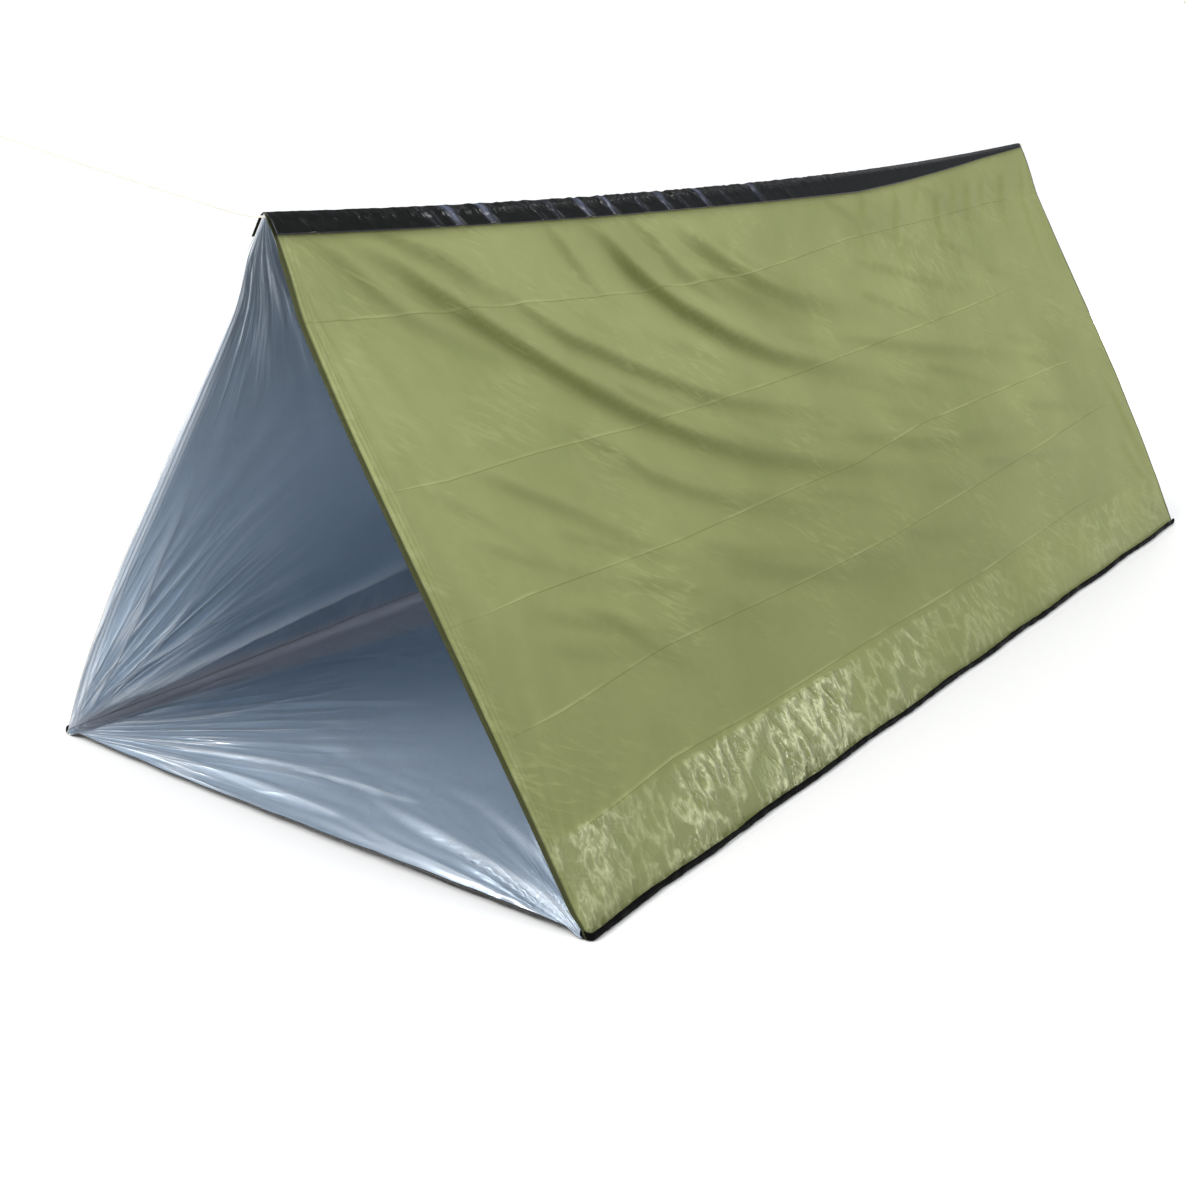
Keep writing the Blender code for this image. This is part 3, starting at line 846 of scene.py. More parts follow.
rightFolds = (
    (0.0050, 0.011, ((-1.19, 0.03), (-1.127, 0.07), (-1.077, 0.12), (-1.03, 0.157), (-0.93, 0.21),
                     (-0.8, 0.27))),
    (0.0090, 0.014, ((-1.15, 0.025), (-1.028, 0.085), (-0.94, 0.144), (-0.85, 0.212), (-0.729, 0.303),
                     (-0.655, 0.35), (-0.532, 0.418), (-0.393, 0.476), (-0.22, 0.53), (0.02, 0.59),
                     (0.3, 0.64))),
    (0.0055, 0.010, ((-1.08, 0.02), (-0.94, 0.08), (-0.829, 0.144), (-0.779, 0.165), (-0.7, 0.21))),
    (0.0070, 0.012, ((-0.86, 0.11), (-0.722, 0.221), (-0.665, 0.249), (-0.602, 0.284), (-0.478, 0.346),
                     (-0.395, 0.377), (-0.2, 0.43), (0.05, 0.48))),
    (0.0045, 0.009, ((-0.69, 0.025), (-0.645, 0.099), (-0.60, 0.16), (-0.53, 0.22))),
    (0.0100, 0.013, ((-0.61, 0.025), (-0.551, 0.07), (-0.501, 0.125), (-0.409, 0.205), (-0.312, 0.265),
                     (-0.2, 0.32), (-0.02, 0.375), (0.2, 0.42))),
    (0.0050, 0.010, ((-0.48, 0.025), (-0.402, 0.103), (-0.371, 0.138), (-0.28, 0.2), (-0.15, 0.26))),
    (0.0075, 0.020, ((-0.36, 0.06), (-0.206, 0.155), (-0.148, 0.188), (-0.06, 0.225), (0.08, 0.26),
                     (0.25, 0.285))),
    (0.0025, 0.009, ((-1.13, 0.39), (-1.094, 0.418), (-1.043, 0.46), (-0.987, 0.513), (-0.93, 0.57))),
    (0.0040, 0.013, ((-1.06, 0.36), (-0.993, 0.406), (-0.941, 0.437), (-0.886, 0.47), (-0.836, 0.507),
                     (-0.783, 0.544), (-0.68, 0.60), (-0.56, 0.65))),
    (0.0045, 0.012, ((-0.86, 0.32), (-0.766, 0.385), (-0.724, 0.418), (-0.678, 0.457), (-0.593, 0.499),
                     (-0.463, 0.552), (-0.28, 0.615), (-0.1, 0.66))),
    (0.0035, 0.014, ((-0.98, 0.59), (-0.9, 0.633), (-0.857, 0.676), (-0.792, 0.729), (-0.70, 0.80))),
    (0.0035, 0.016, ((-0.66, 0.58), (-0.5, 0.65), (-0.35, 0.70), (-0.1, 0.755), (0.1, 0.78))),
    (0.0030, 0.014, ((-0.16, 0.48), (0.15, 0.56), (0.4, 0.60), (0.7, 0.65))),
    (0.0030, 0.014, ((0.0, 0.31), (0.3, 0.38), (0.6, 0.44), (0.95, 0.52))),
    (0.0025, 0.012, ((0.2, 0.17), (0.5, 0.26), (0.8, 0.33))),
    (0.0050, 0.026, ((-0.34, 0.14), (-0.198, 0.2), (-0.111, 0.24), (-0.02, 0.265), (0.06, 0.275))),
    (0.0020, 0.006, ((-0.03, 0.165), (-0.018, 0.2), (-0.011, 0.239), (0.0, 0.29), (0.011, 0.338),
                     (0.02, 0.37))),
    (0.0016, 0.006, ((-0.17, 0.27), (-0.121, 0.29), (-0.032, 0.32), (0.017, 0.345), (0.05, 0.36))),
    (0.0030, 0.007, ((1.185, 0.035), (1.133, 0.134), (1.107, 0.249), (1.09, 0.36))),
    (0.0024, 0.006, ((1.212, 0.04), (1.205, 0.147), (1.2, 0.28), (1.195, 0.42))),
)
# Short pleats where the ridge strip gathers the film, as (y, height, length), and creases into the far corner
pleats = ((0.36, 0.0014, 0.20), (0.50, 0.0016, 0.26), (0.61, 0.0011, 0.18), (0.70, 0.0017, 0.28),
          (0.79, 0.0012, 0.22), (0.86, 0.0015, 0.25), (0.96, 0.0010, 0.19), (1.06, 0.0014, 0.24))
pleatGain, pleatHalf = 2.6, 0.009
rearFolds = tuple(
    (pleatGain * height, pleatHalf, ((y, 0.05), (y - 0.05, 0.5 * length), (y - 0.09, length)))
    for y, height, length in pleats
) + (
    (0.0025, 0.010, ((1.02, 0.88), (1.09, 0.92), (1.16, 0.965))),
    (0.0025, 0.010, ((1.06, 0.74), (1.1, 0.84), (1.15, 0.95))),
    (0.0030, 0.008, ((1.13, 0.6), (1.145, 0.75), (1.16, 0.95))),
)
# Folds placed at random: between which limits their numbers are drawn
faintSettings = {
    "y": (-1.15, 0.8),
    "down": (0.03, 0.7),
    "step": (0.03, 0.07),
    "height": (0.0009, 0.0027),
    "half": (0.007, 0.012),
    "points": (4, 7),
    "lowest": 0.8,
    "slope": 0.95,
    "flattening": 0.8,
    "front": -1.2,
    "rearFade": 2.2,
}


def faintFolds(seed, count):  # the same sweep: steep below the ridge, flatter lower down and to the rear
    s = faintSettings
    random = np.random.default_rng(seed)
    folds = []
    for _ in range(count):
        path = [(random.uniform(*s["y"]), random.uniform(*s["down"]))]
        step = random.uniform(*s["step"])
        while len(path) < s["points"][1] and path[-1][1] < s["lowest"]:
            y, down = path[-1]
            slope = (s["slope"] - s["flattening"] * down) * math.exp((s["front"] - y) / s["rearFade"])
            path.append((y + step, down + step * slope))
        if len(path) >= s["points"][0]:
            folds.append((random.uniform(*s["height"]), random.uniform(*s["half"]), tuple(path)))
    return tuple(folds)


# The left wall's folds are shallower, and lie further back
leftShare, leftShift, leftLengthShare, leftDrop = 0.7, 0.22, 0.95, 0.01
leftFolds = tuple(
    (height * leftShare, half, tuple((y + leftShift, down * leftLengthShare + leftDrop) for y, down in path))
    for height, half, path in rightFolds[1:16]
) + rearFolds + faintFolds(seed=4, count=10) + (
    # Above the foot the lining stands out in a long ridge that rises from the front corner
    (-0.0140, 0.019, ((-1.18, 0.958), (-1.058, 0.94), (-0.924, 0.914), (-0.801, 0.885), (-0.664, 0.865),
                      (-0.518, 0.844), (-0.33, 0.825), (-0.1, 0.81))),
    (-0.0045, 0.008, ((-1.15, 0.92), (-1.144, 0.906), (-1.005, 0.833), (-0.85, 0.776), (-0.7, 0.73))),
    (-0.0040, 0.007, ((-1.16, 0.945), (-1.15, 0.929), (-1.079, 0.838), (-1.039, 0.726), (-1.01, 0.6))),
    (-0.0050, 0.008, ((-1.175, 0.94), (-1.15, 0.84), (-1.14, 0.72), (-1.145, 0.55), (-1.155, 0.4))),
)
rightFolds += rearFolds + faintFolds(seed=7, count=54)
# Soft pleats that run out from a corner, with its place, how many, how high and how far
rightFans = (
    {"place": (-1.208, 0.974), "waves": 20, "height": 0.0004, "reach": 0.16, "seed": 5},
    {"place": (1.154, 0.974), "waves": 16, "height": 0.0008, "reach": 0.10, "seed": 8},
    {"place": (-1.219, 0.0), "waves": 22, "height": 0.0008, "reach": 0.22, "seed": 11},
)
leftFans = (
    {"place": (-1.208, 0.974), "waves": 20, "height": 0.0014, "reach": 0.26, "seed": 21},
    {"place": (-1.219, 0.0), "waves": 26, "height": 0.0006, "reach": 0.22, "seed": 31},
)


# The floor: flat on the ground, turned up along both sides in a small cove that meets the walls
floorSettings = {
    "columns": 300,
    "crowding": 0.3,
    "lipColumns": 6,
    "flatRows": 130,
    "coveRows": 12,
    "coveRadius": 0.006,
    "coveSwell": 0.010,
    "coveRun": 0.9,
    "coveFade": 0.03,
    "coveMargin": 0.005,
    "hugRows": 4,
    "hugReach": 0.012,
    "hugGap": 0.0005,
    "eyeHeight": 0.25,
    "edgeBow": 0.010,
    "bowFade": 24,
    "frontLift": 0.003,
    "frontLiftReach": 0.03,
    "frontLiftWaves": 9,
    "frontLiftPhase": 1,
    "lipHeight": 0.0080,
    "lipWidth": 0.009,
    "lipSharpness": 1.5,
    "foldRise": 0.022,
    "foldHollow": 0.3,
    "crumpled": 0.35,
    "coveShadeShare": 0.95,
    "shadeStart": 0.012,
    "shadeSpread": 0.17,
    "shadeFade": (0.008, 0.25),
    "shadeMargin": 0.03,
    "crestShare": 0.6,
    "crestFade": (0.5, 0.4),
    "crumple": {"Height": -0.004, "Cell": 0.09, "Stretch": 2.0, "Turn": 0.9, "Ripple Height": 0.0,
                "Ripple Size": 0.05, "Seed": 3.0},
}
# Folds of the floor, whose paths' points are (x, y): they meet at its front corners
floorFolds = (
    (0.0065, 0.007, ((0.495, -1.206), (0.401, -1.173), (0.258, -1.14), (0.103, -1.106), (-0.08, -1.08))),
    (0.0050, 0.006, ((0.49, -1.212), (0.269, -1.194), (0.152, -1.181), (0.015, -1.155), (-0.12, -1.14))),
    (0.0045, 0.007, ((0.495, -1.20), (0.42, -1.13), (0.3, -1.07), (0.16, -1.01), (0.0, -0.96))),
    (0.0040, 0.006, ((0.49, -1.19), (0.45, -1.08), (0.38, -0.95), (0.3, -0.82))),
    (0.0060, 0.008, ((-0.3, -0.62), (-0.396, -0.758), (-0.47, -0.924), (-0.493, -1.07), (-0.495, -1.18))),
    (0.0050, 0.007, ((-0.1, -0.75), (-0.25, -0.87), (-0.38, -1.0), (-0.46, -1.11), (-0.495, -1.19))),
    (0.0045, 0.006, ((0.10, -1.06), (-0.1, -1.085), (-0.266, -1.12), (-0.40, -1.16), (-0.495, -1.20))),
    (0.0050, 0.006, ((0.49, -1.208), (0.449, -1.206), (0.336, -1.200), (0.208, -1.198), (0.032, -1.188),
                     (-0.174, -1.19))),
    (0.0045, 0.007, ((0.485, -1.205), (0.451, -1.193), (0.331, -1.155), (0.22, -1.137), (0.064, -1.13))),
    (0.0035, 0.006, ((0.485, -1.203), (0.389, -1.160), (0.299, -1.115), (0.226, -1.090))),
    (0.0060, 0.009, ((-0.482, -1.191), (-0.461, -1.10), (-0.440, -0.981), (-0.395, -0.86), (-0.33, -0.74))),
    (0.0045, 0.007, ((-0.485, -1.193), (-0.45, -1.12), (-0.412, -1.04), (-0.331, -0.93), (-0.235, -0.83))),
    (0.0045, 0.006, ((0.05, -1.16), (-0.15, -1.165), (-0.3, -1.178), (-0.45, -1.2), (-0.497, -1.208))),
)
floorFans = (
    {"place": (-0.5, -1.208), "waves": 24, "height": 0.0014, "reach": 0.30, "seed": 41},
    {"place": (0.5, -1.208), "waves": 24, "height": 0.0014, "reach": 0.28, "seed": 47},
)


def columnPlaces():  # closer together near both edges, and towards the front
    s = wallSettings
    front = np.linspace(0, s["edgeReach"], s["edgeColumns"], endpoint=False)
    rear = tent["length"] - np.linspace(s["rearReach"], 0, s["rearColumns"])
    share = np.linspace(0, 1, s["bodyColumns"], endpoint=False)
    share = share * (1 - s["crowding"] + s["crowding"] * share)
    body = s["edgeReach"] + (rear[0] - s["edgeReach"]) * share
    return np.concatenate((front, body, rear)) / tent["length"]


def wallAlong(along, share):  # y of a point: the base is shorter than the ridge, and the ends bow
    top = -halfLength + tent["length"] * along
    foot = -halfLength + tent["frontSetback"] + baseLength * along
    bow = np.sin(np.pi * np.clip(share, 0, 1))
    frontBow, rearBow = tent["frontBow"] * (1 - along) ** 3, tent["rearBow"] * along ** 3
    return top + (foot - top) * share + bow * (rearBow - frontBow)


foldSettings = {
    "halfGrowth": (0.55, 0.65),
    "riseGrowth": (0.6, 0.8),
    "start": (0.2, 0.1),
    "end": 0.7,
    "foldShadeHeight": 0.0095,
    "leastCore": 0.0095,
    "coreReach": (0.85, 1.5),
    "aroundReach": (1, 2.6),
    "coreShare": 0.6,
    "crestHeight": 0.006,
    "crestStart": (0.1, 0.3),
    "crestEnd": 0.8,
    "crestGrowth": (0.7, 0.9),
    "fanWaves": 9,
    "fanTurns": (0.35, 0.3),
    "fanDrift": (-3, 3),
    "fanDecay": 0.45,
}


def bell(offset, reach):
    return np.exp(-(offset / reach) ** 2)


def foldHeight(u, v, folds, rise, hollow):
    # Across a fold the film rises slowly to a crest, falls steeply and comes back from a hollow;
    # the steep side lies on the path, and a mask around it is returned for painted shade
    s = foldSettings
    height = np.zeros(u.shape)
    slack = np.zeros(u.shape)
    for crest, half, path in folds:
        offset, share = pathOffset(u, v, path)
        half = half * (s["halfGrowth"][0] + s["halfGrowth"][1] * share)
        reach = rise * (s["riseGrowth"][0] + s["riseGrowth"][1] * share)
        steep = (1 - hollow) / 2 + (1 + hollow) / 2 * np.cos(np.pi * (offset + half) / (2 * half))
        lower = -hollow * bell(offset - half, reach)
        profile = np.where(offset < -half, bell(offset + half, reach), np.where(offset > half, lower, steep))
        along = smoothStep(share / s["start"][0] + s["start"][1]) * smoothStep((1 - share) / s["end"])
        height += crest * along * profile
        core = bell(offset, np.maximum(np.where(offset < 0, *s["coreReach"]) * half, s["leastCore"]))
        around = bell(offset, np.where(offset < 0, *s["aroundReach"]) * half)
        mixed = s["coreShare"] * core + (1 - s["coreShare"]) * around
        slack = np.maximum(slack, crest / s["foldShadeHeight"] * along * mixed)
    return height, slack


def foldCrest(u, v, folds):  # where a fold that stands out on the lining's side gets a painted highlight
    s = foldSettings
    crest = np.zeros(u.shape)
    for height, half, path in folds:
        offset, share = pathOffset(u, v, path)
        along = smoothStep(share / s["crestStart"][0] + s["crestStart"][1])
        along = along * smoothStep((1 - share) / s["crestEnd"])
        width = (s["crestGrowth"][0] + s["crestGrowth"][1] * share) * half
        crest = np.maximum(crest, min(abs(height) / s["crestHeight"], 1) * along * bell(offset + half, width))
    return crest


def fanHeight(u, v, fan):
    s = foldSettings
    random = np.random.default_rng(fan["seed"])
    du, dv = u - fan["place"][0], v - fan["place"][1]
    distance = np.hypot(du, dv) + 1e-6
    angle = np.arctan2(dv, du)
    height = np.zeros(u.shape)
    for i in range(s["fanWaves"]):
        turns = fan["waves"] * (s["fanTurns"][0] + s["fanTurns"][1] * i)
        phase, drift = random.uniform(0, math.tau), random.uniform(*s["fanDrift"])
        height += np.sin(turns * angle + phase + drift * distance) / (1 + s["fanDecay"] * i)
    spread = distance / fan["reach"]
    return fan["height"] * height * spread * np.exp(1 - spread)


def packFoldOffset(y, down):  # signed distance down the slope from the nearest pack fold
    offsets = []
    for path in packFolds:
        places, depths = np.array(path).T
        offset = down - np.interp(y, places, depths)
        past = np.maximum(0, np.maximum(places[0] - y, y - places[-1]))  # it is pressed flat past its ends
        offsets.append(np.where(offset < 0, -1, 1) * np.hypot(offset, wallSettings["packFoldEase"] * past))
    offsets = np.array(offsets)
    nearest = np.abs(offsets).argmin(axis=0)
    return np.take_along_axis(offsets, nearest[None], axis=0)[0]


def fromPlace(u, v, fan):  # the place on the film, from the corner that a fan runs out from
    return np.stack((u - fan["place"][0], v - fan["place"][1], np.zeros_like(u)), axis=-1)


def makeWall(name, node, side, folds, fans, belly, curl):
    s = wallSettings
    top = (tent["panelDepth"] + tent["film"]) * tent["ridgeHeight"] / slant / halfWidth
    foot = 1 - (tent["panelDepth"] * halfWidth / slant + s["footGap"]) / tent["ridgeHeight"]
    lower = s["lowerStart"] / slant
    share = np.concatenate((
        np.linspace(top, lower, s["upperRows"], endpoint=False),
        np.linspace(lower, foot, s["lowerRows"] + 1)))
    along, share = np.broadcast_arrays(columnPlaces()[None, :], share[:, None])
    y = wallAlong(along, share)
    down = share * slant
    fromStrip = down - stripEdge(y, side)
    fromFoot = slant - tent["seamHeight"] * slant / tent["ridgeHeight"] - down
    fromEdge = y - wallAlong(np.zeros_like(share), share)
    fromRear = wallAlong(np.ones_like(share), share) - y
    free = smoothStep(fromStrip / s["reliefStart"] / slant) * smoothStep(fromFoot / s["reliefEnd"])
    early = smoothStep(fromStrip / s["earlyFade"]) * smoothStep(fromFoot / s["earlyFade"])
    hang = -s["hangDepth"] * share / s["hangPeak"] * np.exp(1 - share / s["hangPeak"])
    bulge = belly * np.sin(np.pi * share ** 2)
    # Above the foot line the film leans in, and below it, it stands steeper
    rampUp = smoothStep(np.minimum(y + halfLength, halfLength - y) / s["footRun"])
    above = smoothStep(1 - (s["footLine"] - down) / s["footReach"])
    below = smoothStep((fromFoot - s["footMargins"][0]) / (slant - s["footLine"] - s["footMargins"][1]))
    kink = -s["footDepth"] * rampUp * np.where(down < s["footLine"], above, below)
    crease = packFoldOffset(y, down)
    packed = np.sin(s["packFoldWaves"] * y + s["packFoldPhase"])
    packed = packed * s["packFoldHeight"] * np.exp(-np.abs(crease) / s["packFoldReach"])
    folded, slack = foldHeight(y, down, folds, s["foldRise"], s["foldHollow"])
    fanned = sum(fanHeight(y, down, fan) for fan in fans)
    relief = free * (hang + bulge) + kink + early * (packed + folded + fanned)
    # The cut front edge curls inwards
    relief -= curl * early * np.clip(1 - fromEdge / s["curlWidth"], 0, 1) ** 2
    bend = s["edgeRippleBend"] * np.sin(s["edgeRippleBends"] * down)
    ripples = np.sin(math.tau * fromEdge / s["edgeRippleLength"] + bend)
    ripples = ripples * bell(fromEdge, s["edgeRippleReach"]) * smoothStep(fromEdge / s["edgeRippleStart"])
    relief += s["edgeRipple"] * early * ripples
    # The foot is crumpled in patches, and most in the nearer half
    low = smoothStep((down - s["footLine"] + s["footCrumpleMargin"]) / s["footCrumpleFade"])
    waves = sum(height * np.sin(a * y + b * down + phase) for height, a, b, phase in s["patchWaves"])
    patches = smoothStep(s["patchLevel"] + waves)
    near = raiseFrom(s["farShare"], smoothStep((s["farStart"] - y) / s["farReach"]))
    near = near * raiseFrom(s["slackShare"], patches)
    near = near * raiseFrom(s["cornerShare"], smoothStep((y - s["cornerStart"]) / s["cornerReach"]))
    near = near * smoothStep(fromEdge / s["edgeMargin"])
    patch = bell(y - s["patchPlace"][0], s["patchReach"][0])
    patch = patch * bell(down - s["patchPlace"][1], s["patchReach"][1])
    atEdge = smoothStep((s["edgeCrumpleReach"] - fromEdge) / s["edgeCrumpleReach"])
    crumple = s["leastCrumple"] + s["footCrumple"] * low * near
    crumple = crumple + s["edgeCrumple"] * atEdge + s["patchCrumple"] * patch
    # Along the front and rear cut edges a thin line: painted shade on the olive face, a painted highlight on
    # the lining
    line = [smoothStep((width - distance) / soft)
            for distance, (width, soft) in ((fromEdge, s["frontLine"]), (fromRear, s["rearLine"]))]
    # Painted highlights on the lining: along the crests of its inward folds and in a band near the front edge
    crest = foldCrest(y, down, [fold for fold in folds if fold[0] < 0])
    frontCrest = s["edgeCrest"] * bell(fromEdge - s["edgeCrestWidth"], s["edgeCrestWidth"])
    frontCrest = frontCrest * smoothStep((down - s["edgeCrestReach"][0]) / s["edgeCrestReach"][1])
    normal = np.stack((side * ridgeAt(y), np.zeros_like(y), np.full_like(y, halfWidth)), axis=-1)
    normal = normal / np.linalg.norm(normal, axis=-1, keepdims=True)
    points = np.stack((side * halfWidth * share, y, ridgeAt(y) * (1 - share)), axis=-1)
    points = points + normal * (relief - tent["panelDepth"])[..., None]
    mesh = gridMesh(name, points, np.stack((y, down), axis=-1), {
        "crease": crease,
        "crumple": np.clip(crumple, 0, 1),
        "free": early,
        "slack": slack,
        "edge": s["lineShare"] * np.maximum(*line),
        "rubbed": s["coveShadeShare"] * smoothStep((s["coveShadeReach"][0] - fromFoot) / s["coveShadeReach"][1]),
        "dim": s["dimShare"] * bell(y + halfLength, s["dimReach"][0]) * bell(down, s["dimReach"][1]),
        "crest": np.maximum(crest, frontCrest),
        "fromCorner": fromPlace(y, down, fans[0]),
        "fromPeak": fromPlace(y, down, fans[-1])})
    crumpled = {**s["crumple"], "Seed": float(side)}
    wall = makeSheet(mesh, tent["ridgeHeight"] / 3, crumpled, "olive_film", node, liningFilm)
    return wall


leftWall = makeWall("leftWallFilm", "left_wall_film", left, leftFolds, leftFans, belly=0.012, curl=-0.002)
rightWall = makeWall("rightWallFilm", "right_wall_film", right, rightFolds, rightFans, belly=0.003, curl=0.006)
print("tent: walls hung")


def hugWalls(points, walls, gap):
    # A turned-up row is drawn onto the inside of the wall beside it, and no row goes through it
    s = floorSettings
    rows, columns = points.shape[:2]
    trees = []
    for wall in walls:
        corners = [vertex.co for vertex in wall.data.vertices]
        trees.append(BVHTree.FromPolygons(corners, [list(face.vertices) for face in wall.data.polygons]))
    for row in [*range(s["coveRows"] + 1), *range(rows - s["coveRows"] - 1, rows)]:
        fromEdge = min(row, rows - 1 - row)
        for column in range(columns):
            point = Vector(points[row, column])
            start = Vector((0, point.y, s["eyeHeight"]))
            ray = (point - start).normalized()
            for tree in trees:
                place, _, _, distance = tree.ray_cast(start, ray)
                if place is None:
                    continue
                most = distance - gap
                reach = (point - start).length
                pull = smoothStep(1 - fromEdge / s["hugRows"]) * (abs(most - reach) < s["hugReach"])
                reach = min(reach + (most - reach) * pull, most)
                points[row, column] = start + ray * reach
    return points


def makeFloor():
    s = floorSettings
    lean = math.atan2(tent["ridgeHeight"], halfWidth)
    corner = halfWidth - (tent["panelDepth"] + tent["film"] + tent["clearance"]) / math.sin(lean)
    along = np.linspace(0, 1, s["columns"] + 1)
    along = along * (1 - s["crowding"] + s["crowding"] * along)
    lip = np.linspace(0, s["lipWidth"], s["lipColumns"], endpoint=False) / tent["length"]
    along = np.concatenate((lip, lip[-1] + (1 - lip[-1]) * along[1:]))
    y = -halfLength + tent["frontSetback"] + baseLength * along
    # The lining turns from floor to wall in a curve that opens away from the corners
    fromEnds = np.minimum(y + halfLength, halfLength - y)
    radius = s["coveRadius"] + s["coveSwell"] * smoothStep(fromEnds / s["coveRun"])
    edge = corner - radius / math.tan(lean / 2)
    angles = (math.pi - lean) * np.arange(1, s["coveRows"] + 1) / s["coveRows"]
    cove = [(edge + radius * math.sin(angle), radius - radius * math.cos(angle)) for angle in angles]
    flat = [(edge * share, np.zeros_like(y)) for share in np.linspace(-1, 1, s["flatRows"] + 1)]
    x, z = np.array([(-x, z) for x, z in reversed(cove)] + flat + cove).transpose(1, 0, 2)
    y = np.broadcast_to(y, x.shape)
    bow = np.cos(np.pi / 2 * np.clip(x / corner, -1, 1))
    y = y - s["edgeBow"] * bow * (1 - along) ** s["bowFade"]
    height, _ = foldHeight(x, y, floorFolds, s["foldRise"], s["foldHollow"])
    height = height + sum(fanHeight(x, y, fan) for fan in floorFans)
    inside = smoothStep((edge + s["coveMargin"] - np.abs(x)) / s["coveFade"])
    fromFront = y - y.min(axis=1, keepdims=True)
    lift = 0.5 + 0.5 * np.sin(s["frontLiftWaves"] * x + s["frontLiftPhase"])
    lift = lift * s["frontLift"] * np.exp(-fromFront / s["frontLiftReach"])
    lift += s["lipHeight"] * np.clip(1 - fromFront / s["lipWidth"], 0, 1) ** s["lipSharpness"]
    z = z + tent["film"] + inside * (np.abs(height) + lift)
    points = hugWalls(np.stack((x, y, z), axis=-1), (leftWall, rightWall), tent["film"] + s["hugGap"])
    # Painted shade on the lining along the cove, widening further back
    shade = s["shadeStart"] + s["shadeSpread"] * fromFront
    rubbed = smoothStep((np.abs(x) - corner + shade) / (s["shadeFade"][0] + s["shadeFade"][1] * shade))
    rubbed = rubbed * smoothStep(fromFront / s["shadeMargin"])
    # Painted highlights on the lining along the crests of the floor's folds, near the front
    crest = foldCrest(x, y, floorFolds) * inside
    crest = crest * smoothStep((s["crestFade"][0] - fromFront) / s["crestFade"][1])
    mesh = gridMesh("floorFilm", points, np.stack((x, y), axis=-1), {
        "crumple": s["crumpled"] * inside,
        "free": inside,
        "rubbed": s["coveShadeShare"] * rubbed,
        "crest": s["crestShare"] * crest,
        "fromCorner": fromPlace(x, y, floorFans[0]),
        "fromPeak": fromPlace(x, y, floorFans[1])})
    floor = makeSheet(mesh, tent["ridgeHeight"], s["crumple"], "black_film", "floor_film", liningFilm)


makeFloor()
print("tent: floor laid")


def makeStrip():
    s = stripSettings
    y = -halfLength + np.linspace(0, tent["length"] - s["rearStop"], s["columns"] + 1)
    top = ridgeAt(y)
    lean = np.arctan2(halfWidth, top)
    radius = s["edgeRadius"]
    start = radius / math.tan(lean.mean())
    rows = []
    for i in range(-s["flankRows"] - s["roundRows"], s["flankRows"] + s["roundRows"] + 1):
        side = right if i > 0 else left
        if abs(i) <= s["roundRows"]:
            angle = (np.pi / 2 - lean) * i / s["roundRows"]
            height = top - radius / np.sin(lean) + radius * np.cos(angle)
            rows.append((radius * np.sin(angle), height, np.full_like(y, radius * i / s["roundRows"])))
        else:
            reach = start + (stripEdge(y, side) - start) * (abs(i) - s["roundRows"]) / s["flankRows"]
            rows.append((side * reach * np.sin(lean), top - reach * np.cos(lean), side * reach))
    x, z, across = np.array(rows).transpose(1, 0, 2)
    y = np.broadcast_to(y, x.shape)
    out = np.abs(across)
    bulge = s["bulge"] * smoothStep(out / s["bulgeWidth"])
    # A mask for painted bluish highlights along the folds where the strip is drawn over the cord
    drawn = np.zeros(x.shape)
    for place, height in s["drawnFolds"]:
        offset = y - place - s["foldSlope"] * out
        pull = smoothStep((height - s["leastHighlightFold"]) / s["highlightFoldSpan"])
        pull = pull * smoothStep((s["highlightReach"] - out) / s["highlightFade"])
        drawn = np.maximum(drawn, pull * bell(offset + s["highlightShift"], s["foldHalf"]))
        fold = np.exp(-np.abs(offset / s["foldHalf"]) ** s["foldSharpness"])
        bulge = bulge + height * fold * smoothStep(out / s["foldStart"])
    x = x + np.sign(across) * bulge * np.cos(lean)
    z = z + bulge * np.sin(lean)
    # The wrinkles run slantwise over the ridge, and are most in the nearer half's middle
    flat = np.stack((y - out * s["wrinkleSlant"], across), axis=-1)
    crumple = np.exp(-((y - s["mostWrinkledAt"]) / s["wrinkledReach"]) ** s["wrinkledPower"])
    onRidge = smoothStep(s["flankStart"] - out / s["bulgeWidth"])
    crumple = raiseFrom(s["leastWrinkled"], crumple) * raiseFrom(s["flankShare"], onRidge)
    mesh = gridMesh("ridgeStrip", np.stack((x, y, z), axis=-1), flat, {
        "crumple": crumple, "drawn": drawn, "free": np.ones(x.shape)})
    strip = makeSheet(mesh, 0, s["crumple"], "black_film", "ridge_strip")


makeStrip()
print("tent: ridge strip folded over")


# The black welded edge along each side of the base, swept along the wall's foot
seamSettings = {
    "height": 0.012,
    "thickness": 0.0045,
    "points": 120,
    "outlinePoints": 14,
    "inset": 0.010,
    "frontStop": 0.006,
    "middleShare": 0.46,
    "lowest": 0.0002,
    "flare": 1.5,
    "flareLength": 0.06,
    "flareOut": 0.002,
    "flareSwell": 0.15,
    "wave": 0.0015,
    "waveLength": 0.31,
    "swell": 0.12,
    "swellLength": 0.17,
    # The first points turn in at the front corner, as (turned in, forwards, radius)
    "corner": ((0.019, 0.001, 0.45), (0.013, 0.003, 0.8), (0.006, 0.0035, 1.1), (0.0015, 0.001, 1.2)),
    "leftCornerShare": 0.4,
    "ringStep": 0.005,
    "lumpSize": 0.035,
    "lumpHeight": 0.004,
    "lumpDetail": 2,
}


